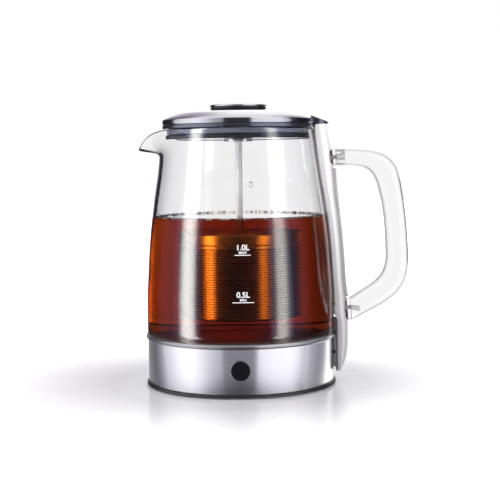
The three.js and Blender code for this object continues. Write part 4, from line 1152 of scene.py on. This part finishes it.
# Light added low behind the object, seen only through the tea's left edge
EDGE_LIGHT = [(104, 0), (110, 4.5), (126, 4.5), (134, 0.4), (141, 0)]
# The share of the light seen through glass that is missing low behind the object, at the tea's right edge
EDGE_SHADE = [(-160, 0), (-148, 0.6), (-108, 0.7), (-100, 0)]
# Slopes of rays, as rise over length: the ceiling's edge, the backdrop's, and those of the edge light and shade
CEILING_EDGE = (0.5, 0.8)
BACKDROP_TOP = (0.35, 0.6)
EDGE_FOOT = (-0.2, -0.16)
EDGE_TOP = (-0.045, -0.035)
# Soft boxes that light everything but the glass and what is inside it: brightness by degrees round the object
SOFT_BOXES = [
    ("box_left", 50, [
        (-113, 0.6), (-106, 1.2), (-92, 1.6), (-66, 1.9), (-52, 1.5), (-40, 1.0), (-32, 0.75), (-22, 0.62),
    ]),
    ("box_right", 50, [(19.5, 1.35), (40, 1.6), (65, 1.6), (76, 1.2), (85, 0.4)]),
]
# How much of them the collar, the dome and the knob get
FAINT_SHARE = 0.6
# Soft boxes beyond them that light the collar and the spine alone
FAR_BOXES = [
    ("box_far_left", 40, [(-170, 0.3), (-156, 0.28), (-140, 0.2), (-130, 0.14), (-120, 0.25), (-113, 0.4)]),
    ("box_far_right", 40, [(85, 0.6), (97, 0.48), (110, 0.31), (122, 0.38), (134, 1.5), (152, 1.5), (160, 0.7)]),
    ("fill_left", 40, [(-90, 0.1), (-66, 0.3), (-39, 0.27), (-13, 0.26), (0, 0.26)]),
    ("fill_right", 40, [(0, 0.26), (16, 0.26), (40, 0.28), (63, 0.32), (80, 0.28), (90, 0.25)]),
]
# Tints of the dim room, and of the dim ends of the strips and of the soft boxes
ROOM_TINT = (0.93, 0.81, 1.1, 1)
STRIP_TINT = (0.6, 0.56, 1.0, 1)
BOX_TINT = (0.9, 0.89, 1.0, 1)
# Strips for the glass and what is inside it, and how much brighter they are on what lies behind the glass
STRIPS = [
    ("strip_left", 32, [
        (-118, 0), (-104, 0.06), (-90, 0.13), (-80, 0.55), (-73, 5), (-66, 8), (-60, 5), (-54, 0.7), (-48, 0),
    ]),
    ("strip_right", 32, [(34, 0), (42, 0.7), (48, 3), (55, 3.2), (61, 1.0), (68, 0.16), (86, 0.04), (98, 0)]),
]
STRIP_BEHIND_GLASS = 1.75
LAMP_DISTANCE = 1.3
LAMP_FOOT = -1.1
# Which pieces the strips light, which no lamp lights, and which get the faint and the far boxes
WET = ["glass_wall", "tea", "tea_bubbles", "tea_foam", "condensation_drop", "basket_cap", "basket_rim", "basket_wall"]
SHADED = ["bush_sleeve", "bush_ring", "seal_lip"]
FAINTLY_LIT = ["brushed_collar", "steel_dome", "knob_plate"]
FAR_LIT = ["brushed_collar", "pearl_spine"]


def studio_world():
    """The room: a backdrop and a pale ceiling in a dim surround. The camera sees plain white, and so does what
    passes straight through glass at a low slope."""
    world = bpy.data.worlds.new("studio")
    bpy.context.scene.world = world
    world.use_nodes = True
    nodes = Nodes(world.node_tree)
    direction = nodes.axes("Generated")
    slope = direction["Z"]
    turn = nodes.sum("ARCTAN2", direction["X"], nodes.sum("MULTIPLY", direction["Y"], -1.0))
    share = nodes.sum("ADD", nodes.sum("DIVIDE", turn, 2 * pi))

    def around(rows):
        """Brightness by degrees round the object."""
        return nodes.levels(share, [((at + 180) / 360, level) for at, level in rows])

    ceiling = nodes.ramp(slope, 0, 1, *CEILING_EDGE, interpolation_type="SMOOTHSTEP")
    lit = nodes.sum("MULTIPLY", around(BRIGHT_ROUND), nodes.sum("SUBTRACT", 1.0, ceiling))
    level = nodes.sum("ADD", lit, nodes.sum("MULTIPLY", ceiling, BRIGHT_TOP))
    colour = nodes.mixed(nodes.ramp(level, 0, 1, 0.15, 1.0), ROOM_TINT, WHITE)
    lamp = nodes.add("Background", {"Color": colour, "Strength": level})

    rays = nodes.add("LightPath").outputs
    low = nodes.sum("MULTIPLY", nodes.ramp(slope, 1, 0, *EDGE_TOP), nodes.ramp(slope, 0, 1, *EDGE_FOOT))
    deep = nodes.sum("GREATER_THAN", rays["Transmission Depth"], 2.5)
    glow = nodes.sum("MULTIPLY", around(EDGE_LIGHT), nodes.sum("MULTIPLY", low, deep))
    seen_through = nodes.sum("ADD", nodes.ramp(slope, 1, 0.55, *BACKDROP_TOP), glow)
    kept = nodes.sum("SUBTRACT", 1.0, nodes.sum("MULTIPLY", around(EDGE_SHADE), low))
    white_level = nodes.sum("MAXIMUM", rays["Is Camera Ray"], nodes.sum("MULTIPLY", seen_through, kept))
    backdrop = nodes.add("Background", {"Color": WHITE, "Strength": white_level})

    straight = nodes.sum("MULTIPLY", rays["Is Transmission Ray"], nodes.sum("LESS_THAN", rays["Glossy Depth"]))
    plain = nodes.sum("MAXIMUM", rays["Is Camera Ray"], straight)
    mix = nodes.add("MixShader", {0: plain, 1: lamp.outputs[0], 2: backdrop.outputs[0]})
    nodes.put(world.node_tree.nodes["World Output"].inputs["Surface"], mix.outputs[0])


def panel(name, high, rows, receivers, tint, behind_glass=1.0):
    """A tall flat lamp that covers some degrees round the object, and lights only the pieces it is given. Its
    dimmer parts have a tint."""
    start, end = rows[0][0], rows[-1][0]
    turn, half = radians((start + end) / 2), radians((end - start) / 2)
    top = 0.1 + LAMP_DISTANCE * tan(radians(high))
    places = [0.5 + tan(radians(at) - turn) / (2 * tan(half)) for at, _ in rows]
    lamp = bpy.data.lights.new(name, "AREA")
    lamp.shape = "RECTANGLE"
    lamp.size, lamp.size_y = 2 * LAMP_DISTANCE * tan(half), top - LAMP_FOOT
    lamp.energy = lamp.size * lamp.size_y * pi
    lamp.use_nodes = True
    nodes = Nodes(lamp.node_tree)
    across = nodes.add("SeparateXYZ", {0: nodes.add("NewGeometry").outputs["Parametric"]}).outputs["X"]
    level = nodes.levels(across, [(place, level) for place, (_, level) in zip(places, rows)])
    behind = nodes.sum("GREATER_THAN", nodes.add("LightPath").outputs["Transmission Depth"])
    share = nodes.sum("ADD", nodes.sum("MULTIPLY", behind, behind_glass - 1), 1.0)
    emission = lamp.node_tree.nodes["Emission"].inputs
    nodes.put(emission["Color"], nodes.mixed(nodes.ramp(level, 0, 1, 0.3, 1.5), tint, WHITE))
    nodes.put(emission["Strength"], nodes.sum("MULTIPLY", level, share))
    holder = placed(name, lamp)
    holder.location = (AXIS + LAMP_DISTANCE * sin(turn), -LAMP_DISTANCE * cos(turn), (LAMP_FOOT + top) / 2)
    holder.rotation_euler = Euler((pi / 2, 0, turn), "XYZ")
    holder.visible_camera = False
    holder.light_linking.receiver_collection = receivers


def lamps():
    names = ("seen_by_strips", "seen_by_boxes", "seen_by_far_boxes", "seen_by_faint_boxes")
    strips, boxes, far, faint = [bpy.data.collections.new(name) for name in names]
    for piece in bpy.context.scene.objects:
        if piece.name in FAINTLY_LIT:
            faint.objects.link(piece)
        elif piece.type == "MESH" and piece.name not in SHADED:
            (strips if piece.name in WET else boxes).objects.link(piece)
        if piece.name in FAR_LIT:
            far.objects.link(piece)
    for row in SOFT_BOXES:
        panel(*row, boxes, BOX_TINT)
    for name, high, rows in SOFT_BOXES:
        panel("faint_" + name, high, [(at, FAINT_SHARE * level) for at, level in rows], faint, BOX_TINT)
    for row in FAR_BOXES:
        panel(*row, far, BOX_TINT)
    for row in STRIPS:
        panel(*row, strips, STRIP_TINT, STRIP_BEHIND_GLASS)


def studio_floor():
    bm = bmesh.new()
    bmesh.ops.create_grid(bm, x_segments=1, y_segments=1, size=4)
    piece = finished("studio_floor", bm)
    piece.location = (0, 0, -0.1 * MM)
    piece.data.materials.append(finishes["studio_floor"])


def camera():
    data = bpy.data.cameras.new("camera")
    data.lens = CAMERA_LENS
    data.sensor_width = 36
    data.clip_start, data.clip_end = 0.01, 50
    look = Euler((pi / 2 - CAMERA_PITCH, 0, 0)).to_matrix().to_4x4()
    place = Matrix.Translation((AXIS + CAMERA_ASIDE, -CAMERA_DISTANCE, CAMERA_HEIGHT))
    holder = placed("camera", data)
    holder.matrix_world = place @ look @ Matrix.Rotation(CAMERA_ROLL, 4, "Z")
    bpy.context.scene.camera = holder


def carried_over():
    """Gives every CAD node that still shows the finish of its slot."""
    for name, node in frame["nodes"].items():
        dressed(node, "satin_rod" if name.startswith("handle_screw") else slot_of[name])


carried_over()
glass_jug()
foot_sealant()
brewed_body()
bubbles_and_foam()
droplet()
level_marks()
steel_collar()
black_foot()
bare_badge()
jug_floor()
spine_cover()
spine_cap()
clear_handle()
handle_strip()
bond_bead()
lid_dome()
lid_band()
lid_plug()
lid_seal()
bush_and_nut()
knob()
lift_rod()
strainer_cap()
strainer_rim()
strainer_wall()
strainer_floor()
studio_floor()
studio_world()
lamps()
camera()

bpy.context.scene.view_settings.view_transform = "Standard"
